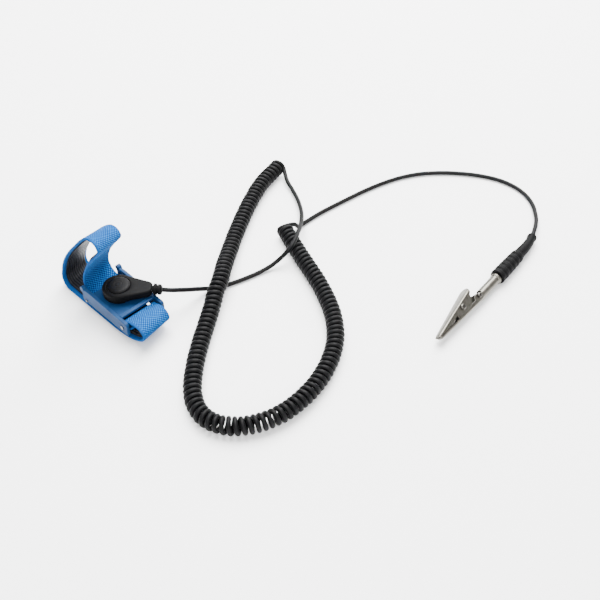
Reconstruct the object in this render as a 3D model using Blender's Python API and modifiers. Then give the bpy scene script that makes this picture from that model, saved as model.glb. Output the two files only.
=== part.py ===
"""ESD wrist strap: elastic band with a clamp buckle, snap connector, curly cord, banana plug, alligator clip.

The strap lies on the table z = 0 with its buckle along X. The origin is on the table, under the snap stud.
Everything is in metres; MM turns the millimetre figures of the drawing into metres.
"""
import math

import bmesh
import bpy
import numpy as np
from mathutils import Matrix

MM = 0.001

# ---------------------------------------------------------------- driving dimensions, millimetres
GAP = 0.3                     # clearance between two pieces that touch

# band: fabric with a conductive lining on its inner side
BAND_WIDTH = 18.4
BAND_FABRIC = 1.1             # thickness of the woven elastic
LINING_THICKNESS = 0.4
LINING_GAP = 0.3
LINING_MARGIN = 2.0           # plain fabric left at each edge of the lining
BAND_STEP = 2.6               # spacing of the sections along the band
LINING_SHORT = 2              # sections that the lining ends before the bar

# buckle
CHEEK_CLEARANCE = 0.5         # between the band's edge and the cheek
CHEEK = 1.8
CHEEK_BOTTOM = 4.5
CHEEK_TOP = 12.6              # at its left; it falls to the right
CHEEK_FALL = 0.8
CHEEK_LEFT = -15.6
CHEEK_RIGHT = 19.7
TRAY_TOP = 10.9
TRAY_THICKNESS = 1.5
TRAY_LEFT = -9.8
TRAY_LIP = 1.4                # height of the lip at the tray's right edge
LIP_WIDTH = 2.2
LIP_OVERHANG = 0.8            # how far the lip reaches over the band's turn round the bar
LIP_TO_TRAY = 1.6             # the tray ends this far before the lip does
KNUCKLE_RADIUS = 1.5
BAR_RADIUS = 1.0
BAR_X = 16.0
BAR_Z = 7.9
LEVER_PIN_RADIUS = 0.6
LEVER_X = -12.5
LEVER_Z = 5.7
LEVER_ARM = 5.2
PIN_CLEARANCE = 0.3
PIN_PROUD = 0.4               # how far the pins stand out of the cheeks
PLATE_THICKNESS = 0.5
PLATE_LENGTH = 19.0
PLATE_MARGIN = 1.5            # between the plate's edge and the cheek

# snap
STUD_FLANGE_RADIUS = 4.4
STUD_BALL_RADIUS = 2.05
STUD_NECK_STEP = 0.3          # from the ball down to the neck
STUD_WALL = 0.35
RIVET_HEAD_RADIUS = 2.8
SOCKET_WALL = 1.45            # from the stud's ball to the socket's outside

# connector
CONNECTOR_ANGLE = 42.0        # its neck, seen from above, from +X towards +Y, degrees
HEAD_RADIUS = 8.0
HEAD_TOP = 17.3
HEAD_LIFT = 0.9               # from the tray to the head's underside
CAP_RIM = 2.3                 # from the cap's edge to the head's
CAP_TOP = 18.1
NECK_LENGTH = 16.4            # from the stud's axis to the housing's end
NECK_WIDTH = 6.2
NECK_HEIGHT = 4.0
LEAD_HEIGHT = 15.2            # the lead's axis where it leaves the connector
RESISTOR_RADIUS = 1.15
RESISTOR_LENGTH = 6.4
RELIEF_LENGTH = 4.3
RIB_RADIUS = 2.9

# cord
CORD_DIAMETER = 2.3
COIL_DIAMETER = 9.0

# banana plug; its axis runs from the handle to the clip
PLUG_PLACE = (119.15, 145.75, 4.05)
PLUG_HEADING = -83.3          # degrees about Z from +X
HANDLE_RADIUS = 4.0
HANDLE_LENGTH = 22.2
HANDLE_RIBS = 6
BOOT_RADIUS = 2.85
PIN_LENGTH = 14.6
PIN_CORE = 1.15
BOW_RISE = 0.8                # how far the bow spring stands out over the pin
COLLAR_RADIUS = 2.0

# alligator clip; along the plug's axis, lever towards its own +Z
CLIP_ROLL = 50.0              # degrees about its own axis
SHEET = 0.6
BARREL_CLEARANCE = 0.15       # between the bow spring and the barrel
BARREL_WALL = 0.4
BARREL_LENGTH = 15.5
RING_ROLL = 0.5               # how far the rolled rim stands out
CLIP_LENGTH = 53.6
LEVER_BACK = 21.5             # where the lever's free end is
LEVER_END_WIDTH = 3.55        # half widths
UPPER_TIP_WIDTH = 1.9
LOWER_REAR_STEP = 0.2         # the lower jaw's rear half width is this much under the barrel's radius
LOWER_TIP_WIDTH = 1.66
RIVET_X = 32.3
RIVET_Z = 3.3
CLIP_RIVET_RADIUS = 0.8
SCREW_X = 18.7
SCREW_Z = 1.2
LEVER_HEIGHT = 7.9            # top of the lever's free end
TIP_HEIGHT = 1.7              # top of the upper jaw's tip
TOOTH_PITCH = 1.7
TOOTH_DEPTH = 0.7
SPRING_WIRE = 0.25
SPRING_RADIUS = 1.35
SPRING_TURNS = 3

# ---------------------------------------------------------------- hand-chosen routes, millimetres
# Band, outer surface: (x, z) of the near edge, then (x, z) of the far edge, from the clamped end
# over the free arch, down, along the table and round the right fold up to the bar.
BAND_ROUTE = [
    (-3.6, 9.1, -3.6, 9.1), (-9.0, 9.0, -9.6, 9.0), (-13.2, 9.9, -16.2, 9.8), (-15.2, 14.0, -19.6, 13.4),
    (-14.6, 18.5, -19.4, 17.9), (-12.4, 23.3, -16.8, 23.9), (-7.2, 32.2, -11.8, 31.0),
    (-0.2, 40.4, -6.9, 37.0),
    (3.4, 46.2, -4.6, 41.0), (1.8, 49.8, -6.6, 43.6), (-3.6, 50.3, -11.2, 43.4),
    (-9.4, 46.8, -16.7, 39.8),
    (-18.0, 37.4, -24.9, 32.0), (-27.0, 26.5, -32.1, 23.3), (-32.8, 17.5, -37.4, 15.6),
    (-36.2, 9.0, -41.2, 8.8),
    (-36.2, 3.6, -41.8, 3.6), (-32.6, 0.4, -38.2, 0.4), (-26.0, 0.0, -30.0, 0.0),
    (-14.0, 0.0, -16.0, 0.0),
    (0.0, 0.0, 0.0, 0.0), (10.0, 0.0, 10.0, 0.0), (17.6, 0.9, 16.8, 0.8), (24.4, 3.3, 22.0, 2.8),
    (29.2, 6.6, 25.8, 5.8), (30.6, 9.8, 27.0, 8.8), (28.4, 12.6, 24.9, 11.4), (23.6, 12.9, 21.4, 12.0),
    (19.4, 11.7, 18.8, 11.3),
]
# sideways place of the band's middle at the clamped end and where it lies on the table
BAND_SIDE_BUCKLE = 0.0
BAND_SIDE_TABLE = -1.2
# Lead from the connector to the coil; the first point is worked out from the strain relief.
LEAD_A_ROUTE = [
    (18.5, 16.9, 14.9), (20.2, 21.2, 13.2), (20.3, 26.2, 10.0), (19.7, 32.0, 6.0), (19.9, 37.2, 2.8),
    (21.3, 41.2, 1.4), (23.2, 45.1, 1.2), (25.8, 52.3, 1.2), (27.9, 60.0, 1.2), (29.2, 65.9, 1.3),
    (30.5, 71.9, 2.2), (31.8, 76.8, 4.4), (33.0, 80.6, 7.4), (33.3, 84.6, 10.0), (31.4, 89.4, 10.9),
    (27.0, 96.0, 9.3), (20.4, 104.5, 6.0), (14.1, 111.2, 4.2), (7.7, 116.4, 3.0), (0.9, 120.8, 2.2),
    (-6.6, 124.4, 2.1), (-12.6, 126.7, 3.0),
]
# Axis of the curly part, from its end at lead A to its end at lead B; it climbs over lead A once.
COIL_ROUTE = [
    (-24.7, 131.4, 4.5), (-23.1, 124.6, 4.5), (-20.3, 114.3, 4.5), (-12.4, 97.6, 4.5), (2.2, 73.3, 4.6),
    (8.2, 64.6, 5.0), (13.4, 57.4, 5.9), (19.1, 49.9, 7.0), (24.6, 43.0, 7.5), (28.6, 36.5, 7.0),
    (33.0, 30.6, 6.0), (38.8, 22.3, 5.0), (43.1, 16.0, 4.6), (48.1, 9.1, 4.5), (54.0, 1.6, 4.5),
    (58.5, -3.5, 4.5), (63.5, -8.7, 4.5), (69.3, -13.4, 4.5), (75.5, -16.6, 4.5), (82.0, -17.8, 4.5),
    (88.6, -16.4, 4.5), (95.0, -12.2, 4.5), (99.5, -6.6, 4.5), (103.0, 0.6, 4.5), (105.0, 8.6, 4.5),
    (105.4, 16.8, 4.5), (104.6, 25.8, 4.5), (102.6, 34.6, 4.5), (98.6, 44.8, 4.5), (92.6, 54.8, 4.5),
    (85.4, 62.6, 4.5), (76.4, 69.6, 4.5), (66.9, 75.0, 4.5), (58.5, 79.0, 4.5), (50.0, 82.4, 4.5),
    (41.5, 85.6, 4.5), (31.5, 89.5, 4.5), (22.6, 93.2, 4.5), (13.6, 97.0, 4.5),
]
# Lead from the coil to the plug; its last point is worked out from the boot.
LEAD_B_ROUTE = [
    (18.9, 100.1, 2.6), (18.1, 104.8, 1.6), (17.9, 110.0, 1.2), (18.2, 121.0, 1.2), (19.4, 132.0, 1.2),
    (20.8, 142.6, 1.2), (22.4, 153.2, 1.2), (24.8, 164.2, 1.2), (28.7, 176.0, 1.2), (34.4, 186.6, 1.2),
    (41.9, 195.6, 1.2), (50.4, 203.2, 1.2), (59.8, 209.6, 1.2), (70.0, 214.0, 1.2), (80.0, 215.2, 1.2),
    (88.4, 213.6, 1.2), (96.2, 209.3, 1.3), (102.4, 203.2, 1.9), (106.0, 198.6, 2.6), (108.6, 194.3, 3.2),
]
# Flexible boot behind the plug's handle, past its first point, which is on the plug's axis.
BOOT_ROUTE = [(115.75, 174.65, 4.05), (114.6, 180.1, 3.95), (112.9, 185.2, 3.75)]

# ---------------------------------------------------------------- values that follow from them
BUCKLE_INNER = BAND_WIDTH + 2 * CHEEK_CLEARANCE     # between the cheeks
BUCKLE_OUTER = BUCKLE_INNER + 2 * CHEEK
PLATE_WIDTH = BUCKLE_INNER - 2 * PLATE_MARGIN
TRAY_BOTTOM = TRAY_TOP - TRAY_THICKNESS
HEAD_BOTTOM = TRAY_TOP + HEAD_LIFT
PLATE_BOTTOM = CHEEK_BOTTOM + 0.1
PLATE_TOP = PLATE_BOTTOM + PLATE_THICKNESS
BAND_WRAP = BAR_RADIUS + GAP + BAND_FABRIC          # outer radius of the band round the bar
LIP_RIGHT = BAR_X - BAND_WRAP + LIP_OVERHANG
STUD_NECK_RADIUS = STUD_BALL_RADIUS - STUD_NECK_STEP
RIVET_RADIUS = STUD_NECK_RADIUS - STUD_WALL - GAP
SOCKET_RADIUS = STUD_BALL_RADIUS + SOCKET_WALL
CAP_RADIUS = HEAD_RADIUS - CAP_RIM
BOW_RADIUS = PIN_CORE + BOW_RISE
BARREL_BORE = BOW_RADIUS + BARREL_CLEARANCE
BARREL_RADIUS = BARREL_BORE + BARREL_WALL
RING_RADIUS = BARREL_RADIUS + RING_ROLL
LOWER_REAR_WIDTH = BARREL_RADIUS - LOWER_REAR_STEP
UNDER_CLEARANCE = 0.4


# ---------------------------------------------------------------- scene, materials, small tools
for old in list(bpy.data.objects):
    bpy.data.objects.remove(old, do_unlink=True)
PARTS = bpy.data.collections.new("esd_wrist_strap")
CUTTERS = bpy.data.collections.new("cutters")
for group in (PARTS, CUTTERS):
    bpy.context.scene.collection.children.link(group)


def material(name, colour, roughness, metallic=0.0):
    """One Principled material."""
    mat = bpy.data.materials.new(name)
    mat.use_nodes = True
    shader = mat.node_tree.nodes["Principled BSDF"]
    shader.inputs["Base Color"].default_value = (*colour, 1.0)
    shader.inputs["Roughness"].default_value = roughness
    shader.inputs["Metallic"].default_value = metallic
    return mat


def empty(name, location=(0, 0, 0), rotation=(0, 0, 0), parent=None):
    """A frame of reference, given in millimetres and degrees."""
    frame = bpy.data.objects.new(name, None)
    frame.empty_display_size = 0.01
    frame.location = [value * MM for value in location]
    frame.rotation_euler = [math.radians(value) for value in rotation]
    frame.parent = parent
    PARTS.objects.link(frame)
    return frame


def add(name, data, mat=None, parent=None, cutter=False):
    """Put mesh or curve data into the scene as a named piece, or as a cutter."""
    piece = bpy.data.objects.new(name, data)
    piece.parent = parent
    if cutter:
        piece.hide_render = True
        piece.display_type = "WIRE"
        CUTTERS.objects.link(piece)
        return piece
    PARTS.objects.link(piece)
    own = mat.copy()
    own.name = name + "_finish"
    data.materials.append(own)
    return piece


def from_bmesh(name, bm, **options):
    """Turn a bmesh into an object and free it."""
    mesh = bpy.data.meshes.new(name)
    bm.to_mesh(mesh)
    bm.free()
    return add(name, mesh, **options)


def box(name, low, high, **options):
    """A box between two corners, in millimetres."""
    low, high = np.array(low, float) * MM, np.array(high, float) * MM
    bm = bmesh.new()
    bmesh.ops.create_cube(bm, size=1.0, matrix=Matrix.LocRotScale((low + high) / 2, None, high - low))
    return from_bmesh(name, bm, **options)


def rod(name, radius, start, end, sides=24, **options):
    """A round bar between two points on one axis direction, in millimetres."""
    start, end = np.array(start, float) * MM, np.array(end, float) * MM
    axis = end - start
    turn = Matrix.Identity(4)
    if abs(axis[0]) > 0:
        turn = Matrix.Rotation(math.pi / 2, 4, "Y")
    elif abs(axis[1]) > 0:
        turn = Matrix.Rotation(-math.pi / 2, 4, "X")
    bm = bmesh.new()
    bmesh.ops.create_cone(bm, cap_ends=True, segments=sides, radius1=radius * MM, radius2=radius * MM,
                          depth=np.linalg.norm(axis), matrix=Matrix.Translation((start + end) / 2) @ turn)
    return smooth(from_bmesh(name, bm, **options))


def smooth(piece, angle=40.0):
    """Shade round faces smooth and keep edges sharper than the angle."""
    piece.data.shade_smooth()
    piece.data.set_sharp_from_angle(angle=math.radians(angle))
    return piece


def turned(name, profile, steps=32, closed=False, **options):
    """A profile of (radius, height) points, outer side running down, spun about local Z."""
    mesh = bpy.data.meshes.new(name)
    points = [(radius * MM, 0.0, height * MM) for radius, height in profile]
    edges = [(i, i + 1) for i in range(len(points) - 1)]
    if closed:
        edges.append((len(points) - 1, 0))
    mesh.from_pydata(points, edges, [])
    piece = add(name, mesh, **options)
    screw = piece.modifiers.new("spin", "SCREW")
    screw.axis = "Z"
    screw.steps = screw.render_steps = steps
    screw.use_merge_vertices = True
    screw.merge_threshold = 0.00001
    screw.use_smooth_shade = True
    return piece


def smooth_path(points, spacing):
    """Even points on a centripetal Catmull-Rom curve through the given ones, any number of columns."""
    points = np.array(points, float)
    ends = np.vstack([2 * points[0] - points[1], points, 2 * points[-1] - points[-2]])
    fine = []
    for p0, p1, p2, p3 in zip(ends, ends[1:], ends[2:], ends[3:]):
        t0 = 0.0
        t1 = t0 + np.linalg.norm(p1 - p0) ** 0.5
        t2 = t1 + np.linalg.norm(p2 - p1) ** 0.5
        t3 = t2 + np.linalg.norm(p3 - p2) ** 0.5
        t = np.linspace(t1, t2, 24, endpoint=False)[:, None]
        a1 = (t1 - t) / (t1 - t0) * p0 + (t - t0) / (t1 - t0) * p1
        a2 = (t2 - t) / (t2 - t1) * p1 + (t - t1) / (t2 - t1) * p2
        a3 = (t3 - t) / (t3 - t2) * p2 + (t - t2) / (t3 - t2) * p3
        b1 = (t2 - t) / (t2 - t0) * a1 + (t - t0) / (t2 - t0) * a2
        b2 = (t3 - t) / (t3 - t1) * a2 + (t - t1) / (t3 - t1) * a3
        fine.append((t2 - t) / (t2 - t1) * b1 + (t - t1) / (t2 - t1) * b2)
    fine = np.vstack(fine + [points[-1:]])
    length = np.concatenate([[0.0], np.cumsum(np.linalg.norm(np.diff(fine, axis=0), axis=1))])
    count = max(2, round(length[-1] / spacing) + 1)
    even = np.linspace(0.0, length[-1], count)
    return np.column_stack([np.interp(even, length, column) for column in fine.T])


def tube(name, points, radius, **options):
    """A round tube with filled ends along points in millimetres."""
    curve = bpy.data.curves.new(name, "CURVE")
    curve.dimensions = "3D"
    curve.bevel_depth = radius * MM
    curve.bevel_resolution = 2
    curve.use_fill_caps = True
    spline = curve.splines.new("POLY")
    spline.points.add(len(points) - 1)
    spline.points.foreach_set("co",
                              np.column_stack([np.array(points) * MM, np.ones(len(points))]).ravel())
    return add(name, curve, **options)


def side_plate(name, outline, half_width, **options):
    """An (x, z) outline in millimetres made solid across Y; half_width is a number or a function of x."""
    curve = bpy.data.curves.new(name, "CURVE")
    curve.dimensions = "2D"
    curve.fill_mode = "BOTH"
    curve.extrude = 1.0
    spline = curve.splines.new("POLY")
    spline.points.add(len(outline) - 1)
    spline.use_cyclic_u = True
    spline.points.foreach_set("co", np.array([(x * MM, z * MM, 0.0, 1.0) for x, z in outline]).ravel())
    flat = bpy.data.objects.new(name + "_flat", curve)
    bpy.context.scene.collection.objects.link(flat)
    mesh = bpy.data.meshes.new_from_object(flat.evaluated_get(bpy.context.evaluated_depsgraph_get()))
    bpy.data.objects.remove(flat)
    bm = bmesh.new()
    bm.from_mesh(mesh)
    bmesh.ops.remove_doubles(bm, verts=bm.verts, dist=0.00001)
    for vert in bm.verts:
        x, z, side = vert.co
        width = half_width(x / MM) if callable(half_width) else half_width
        vert.co = (x, -math.copysign(width * MM, side), z)
    bmesh.ops.recalc_face_normals(bm, faces=bm.faces)
    bpy.data.meshes.remove(mesh)
    return from_bmesh(name, bm, **options)


def combine(piece, other, operation="DIFFERENCE"):
    """Cut the other shape from the piece, or join it on."""
    boolean = piece.modifiers.new(operation.lower(), "BOOLEAN")
    boolean.operation = operation
    boolean.solver = "EXACT"
    boolean.object = other
    return piece


def bevel(piece, width, segments=2, angle=30.0):
    """Round the edges sharper than the angle."""
    rounding = piece.modifiers.new("edges", "BEVEL")
    rounding.width = width * MM
    rounding.segments = segments
    rounding.limit_method = "ANGLE"
    rounding.angle_limit = math.radians(angle)
    return piece


# ---------------------------------------------------------------- strap
def band_edges():
    """Near and far edge of the band's outer surface, in millimetres, up to where it reaches the bar."""
    route = smooth_path(BAND_ROUTE, BAND_STEP)
    height = np.clip((route[:, 1] + route[:, 3]) / 2 / TRAY_BOTTOM, 0.0, 1.0)
    middle = BAND_SIDE_TABLE + (BAND_SIDE_BUCKLE - BAND_SIDE_TABLE) * height
    half = BAND_WIDTH / 2
    near = np.column_stack([route[:, 0], middle - half, np.maximum(route[:, 1], 0.0)])
    far = np.column_stack([route[:, 2], middle + half, np.maximum(route[:, 3], 0.0)])
    return near, far


def inner_layer(near, far, inset, margin):
    """The same surface moved towards the wrist by inset and narrowed by margin at each edge."""
    across = far - near
    along = np.gradient((near + far) / 2, axis=0)
    share = margin / BAND_WIDTH
    moved = []
    for edge, place in ((near, share), (far, 1.0 - share)):
        slope = np.gradient(edge, axis=0) * 0.5 + along * 0.5
        normal = np.cross(slope, across)
        normal /= np.linalg.norm(normal, axis=1)[:, None]
        moved.append(near + place * across + inset * normal)
    return moved


def ribbon(name, near, far, thickness, mat, parent):
    """A strip between two edges, thickened towards the inside of the wrist loop."""
    mesh = bpy.data.meshes.new(name)
    count = len(near)
    faces = [(i, count + i, count + i + 1, i + 1) for i in range(count - 1)]
    mesh.from_pydata((np.vstack([near, far]) * MM).tolist(), [], faces)
    strip = add(name, mesh, mat=mat, parent=parent)
    mesh.shade_smooth()
    wall = strip.modifiers.new("thickness", "SOLIDIFY")
    wall.thickness = thickness * MM
    wall.offset = -1.0
    wall.use_even_offset = True
    return strip


def bar_wrap():
    """The band's sewn end: round the bar and back under the run it came from, outer surface (x, z)."""
    over = [(BAR_X + BAND_WRAP * math.cos(turn), BAR_Z + BAND_WRAP * math.sin(turn))
            for turn in np.radians(np.arange(80.0, 271.0, 15.0))]
    tail = [(BAR_X + 2.2, BAR_Z - BAND_WRAP + 0.5), (BAR_X + 4.4, BAR_Z - BAND_WRAP + 2.3)]
    return over + tail


def make_band(parent, fabric, lining):
    """Elastic band and its conductive lining."""
    near, far = band_edges()
    end = smooth_path(bar_wrap(), BAND_STEP / 2)
    edges = []
    for edge in (near, far):
        wrap = np.column_stack([end[:, 0], np.full(len(end), edge[-1][1]), end[:, 1]])
        edges.append(np.vstack([edge, wrap]))
    ribbon("band_fabric", *edges, BAND_FABRIC, fabric, parent)
    near, far = inner_layer(near, far, BAND_FABRIC + LINING_GAP, LINING_MARGIN)
    last = len(near) - LINING_SHORT
    ribbon("band_lining", near[:last], far[:last], LINING_THICKNESS, lining, parent)


def make_buckle(parent, plastic):
    """Moulded buckle: two cheeks, the sunken tray between them with its lip, a boss and two knuckles."""
    outer, inner = BUCKLE_OUTER / 2, BUCKLE_INNER / 2
    frame = box("buckle_frame", (TRAY_LEFT, -inner - CHEEK / 2, TRAY_BOTTOM),
                (LIP_RIGHT - LIP_TO_TRAY, inner + CHEEK / 2, TRAY_TOP), mat=plastic, parent=parent)
    outline = [(CHEEK_LEFT, CHEEK_BOTTOM + 0.5), (CHEEK_LEFT + 0.5, CHEEK_BOTTOM),
               (CHEEK_RIGHT - 0.6, CHEEK_BOTTOM),
               (CHEEK_RIGHT, CHEEK_BOTTOM + 0.6), (CHEEK_RIGHT, CHEEK_TOP - CHEEK_FALL - 0.9),
               (CHEEK_RIGHT - 0.9, CHEEK_TOP - CHEEK_FALL), (TRAY_LEFT, CHEEK_TOP),
               (CHEEK_LEFT, CHEEK_TOP - 0.2)]
    for side in (-1, 1):
        cheek = side_plate("cheek", outline, CHEEK / 2, parent=parent, cutter=True)
        cheek.location.y = side * (outer - CHEEK / 2) * MM
        combine(frame, bevel(cheek, 0.35, 2), "UNION")
        knuckle = rod("knuckle", KNUCKLE_RADIUS,
                      (CHEEK_LEFT + 0.7, side * (inner + 0.1), CHEEK_TOP - 0.5),
                      (CHEEK_LEFT + 0.7, side * (outer + PIN_PROUD), CHEEK_TOP - 0.5), parent=parent,
                      cutter=True)
        combine(frame, knuckle, "UNION")
    lip = box("lip", (LIP_RIGHT - LIP_WIDTH, -inner - 0.3, TRAY_TOP - 0.1),
              (LIP_RIGHT, inner + 0.3, TRAY_TOP + TRAY_LIP), parent=parent, cutter=True)
    combine(frame, bevel(lip, 0.4, 2), "UNION")
    boss = rod("boss", RIVET_RADIUS + 1.75, (0, 0, PLATE_TOP + GAP), (0, 0, TRAY_BOTTOM + 0.5),
               parent=parent, cutter=True)
    combine(frame, boss, "UNION")
    holes = [
        rod("rivet_hole", RIVET_RADIUS + PIN_CLEARANCE, (0, 0, 0), (0, 0, HEAD_TOP), parent=parent,
            cutter=True),
        rod("bar_hole", BAR_RADIUS + PIN_CLEARANCE, (BAR_X, -outer - 2, BAR_Z), (BAR_X, outer + 2, BAR_Z),
            parent=parent, cutter=True),
        rod("lever_hole", LEVER_PIN_RADIUS + PIN_CLEARANCE, (LEVER_X, -outer - 2, LEVER_Z),
            (LEVER_X, outer + 2, LEVER_Z), parent=parent, cutter=True),
    ]
    for hole in holes:
        combine(frame, hole)


def make_strap_hardware(parent, steel, plastic):
    """Bar, contact plate, stud, rivet, clamp lever and its pin."""
    reach = BUCKLE_OUTER / 2 + PIN_PROUD
    rod("bar_pin", BAR_RADIUS, (BAR_X, -reach, BAR_Z), (BAR_X, reach, BAR_Z), mat=steel, parent=parent)
    plate_left = BAR_X - BAND_WRAP - GAP - PLATE_LENGTH
    plate = box("skin_plate", (plate_left, -PLATE_WIDTH / 2, PLATE_BOTTOM),
                (plate_left + PLATE_LENGTH, PLATE_WIDTH / 2, PLATE_TOP), mat=steel, parent=parent)
    bevel(plate, 0.12, 1)
    combine(plate, rod("plate_hole", RIVET_RADIUS + PIN_CLEARANCE, (0, 0, 0), (0, 0, HEAD_TOP),
                       parent=parent, cutter=True))
    flange = TRAY_TOP + GAP
    ball, neck = STUD_BALL_RADIUS, STUD_NECK_RADIUS
    turned("snap_stud", [
        (0, flange + 3.1), (ball * 0.55, flange + 3.0), (ball * 0.9, flange + 2.6), (ball, flange + 2.1),
        (neck, flange + 1.5), (neck, flange + 0.8), (neck + 0.2, flange + 0.4),
        (STUD_FLANGE_RADIUS, flange + 0.35),
        (STUD_FLANGE_RADIUS, flange), (RIVET_RADIUS + GAP, flange), (RIVET_RADIUS + GAP, flange + 2.2),
        (0, flange + 2.3)],
        mat=steel, parent=parent)
    head = PLATE_BOTTOM - GAP
    turned("stud_rivet", [
        (0, flange + 2.0), (RIVET_RADIUS - 0.2, flange + 1.95), (RIVET_RADIUS, flange + 1.7),
        (RIVET_RADIUS, head),
        (RIVET_HEAD_RADIUS, head), (RIVET_HEAD_RADIUS - 0.3, head - 0.5), (0, head - 0.6)],
        steps=24, mat=steel, parent=parent)
    pivot = empty("lever_axis", (LEVER_X, 0, LEVER_Z), parent=parent)
    rod("lever_pin", LEVER_PIN_RADIUS, (0, -reach, 0), (0, reach, 0), sides=16, mat=steel, parent=pivot)
    cam = TRAY_BOTTOM - GAP - BAND_FABRIC - GAP - LINING_THICKNESS - GAP - LEVER_Z
    hub = LEVER_PIN_RADIUS + 0.45
    outline = []
    for turn in np.arange(100.0, -61.0, -20.0):
        radius = cam - 0.2 * min(1.0, max(0.0, (80.0 - turn) / 40.0))
        outline.append((radius * math.cos(math.radians(turn)), radius * math.sin(math.radians(turn))))
    outline += [(-hub, -1.15), (-LEVER_ARM, -1.0), (-LEVER_ARM - 0.3, -0.4), (-LEVER_ARM, 0.1),
                (-hub - 0.6, 0.35)]
    lever = side_plate("clamp_lever", outline, BUCKLE_INNER / 2 - 0.5, mat=plastic, parent=pivot)
    combine(lever, rod("lever_bore", LEVER_PIN_RADIUS + 0.2, (0, -reach, 0), (0, reach, 0), sides=16,
                       parent=pivot, cutter=True))


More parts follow.
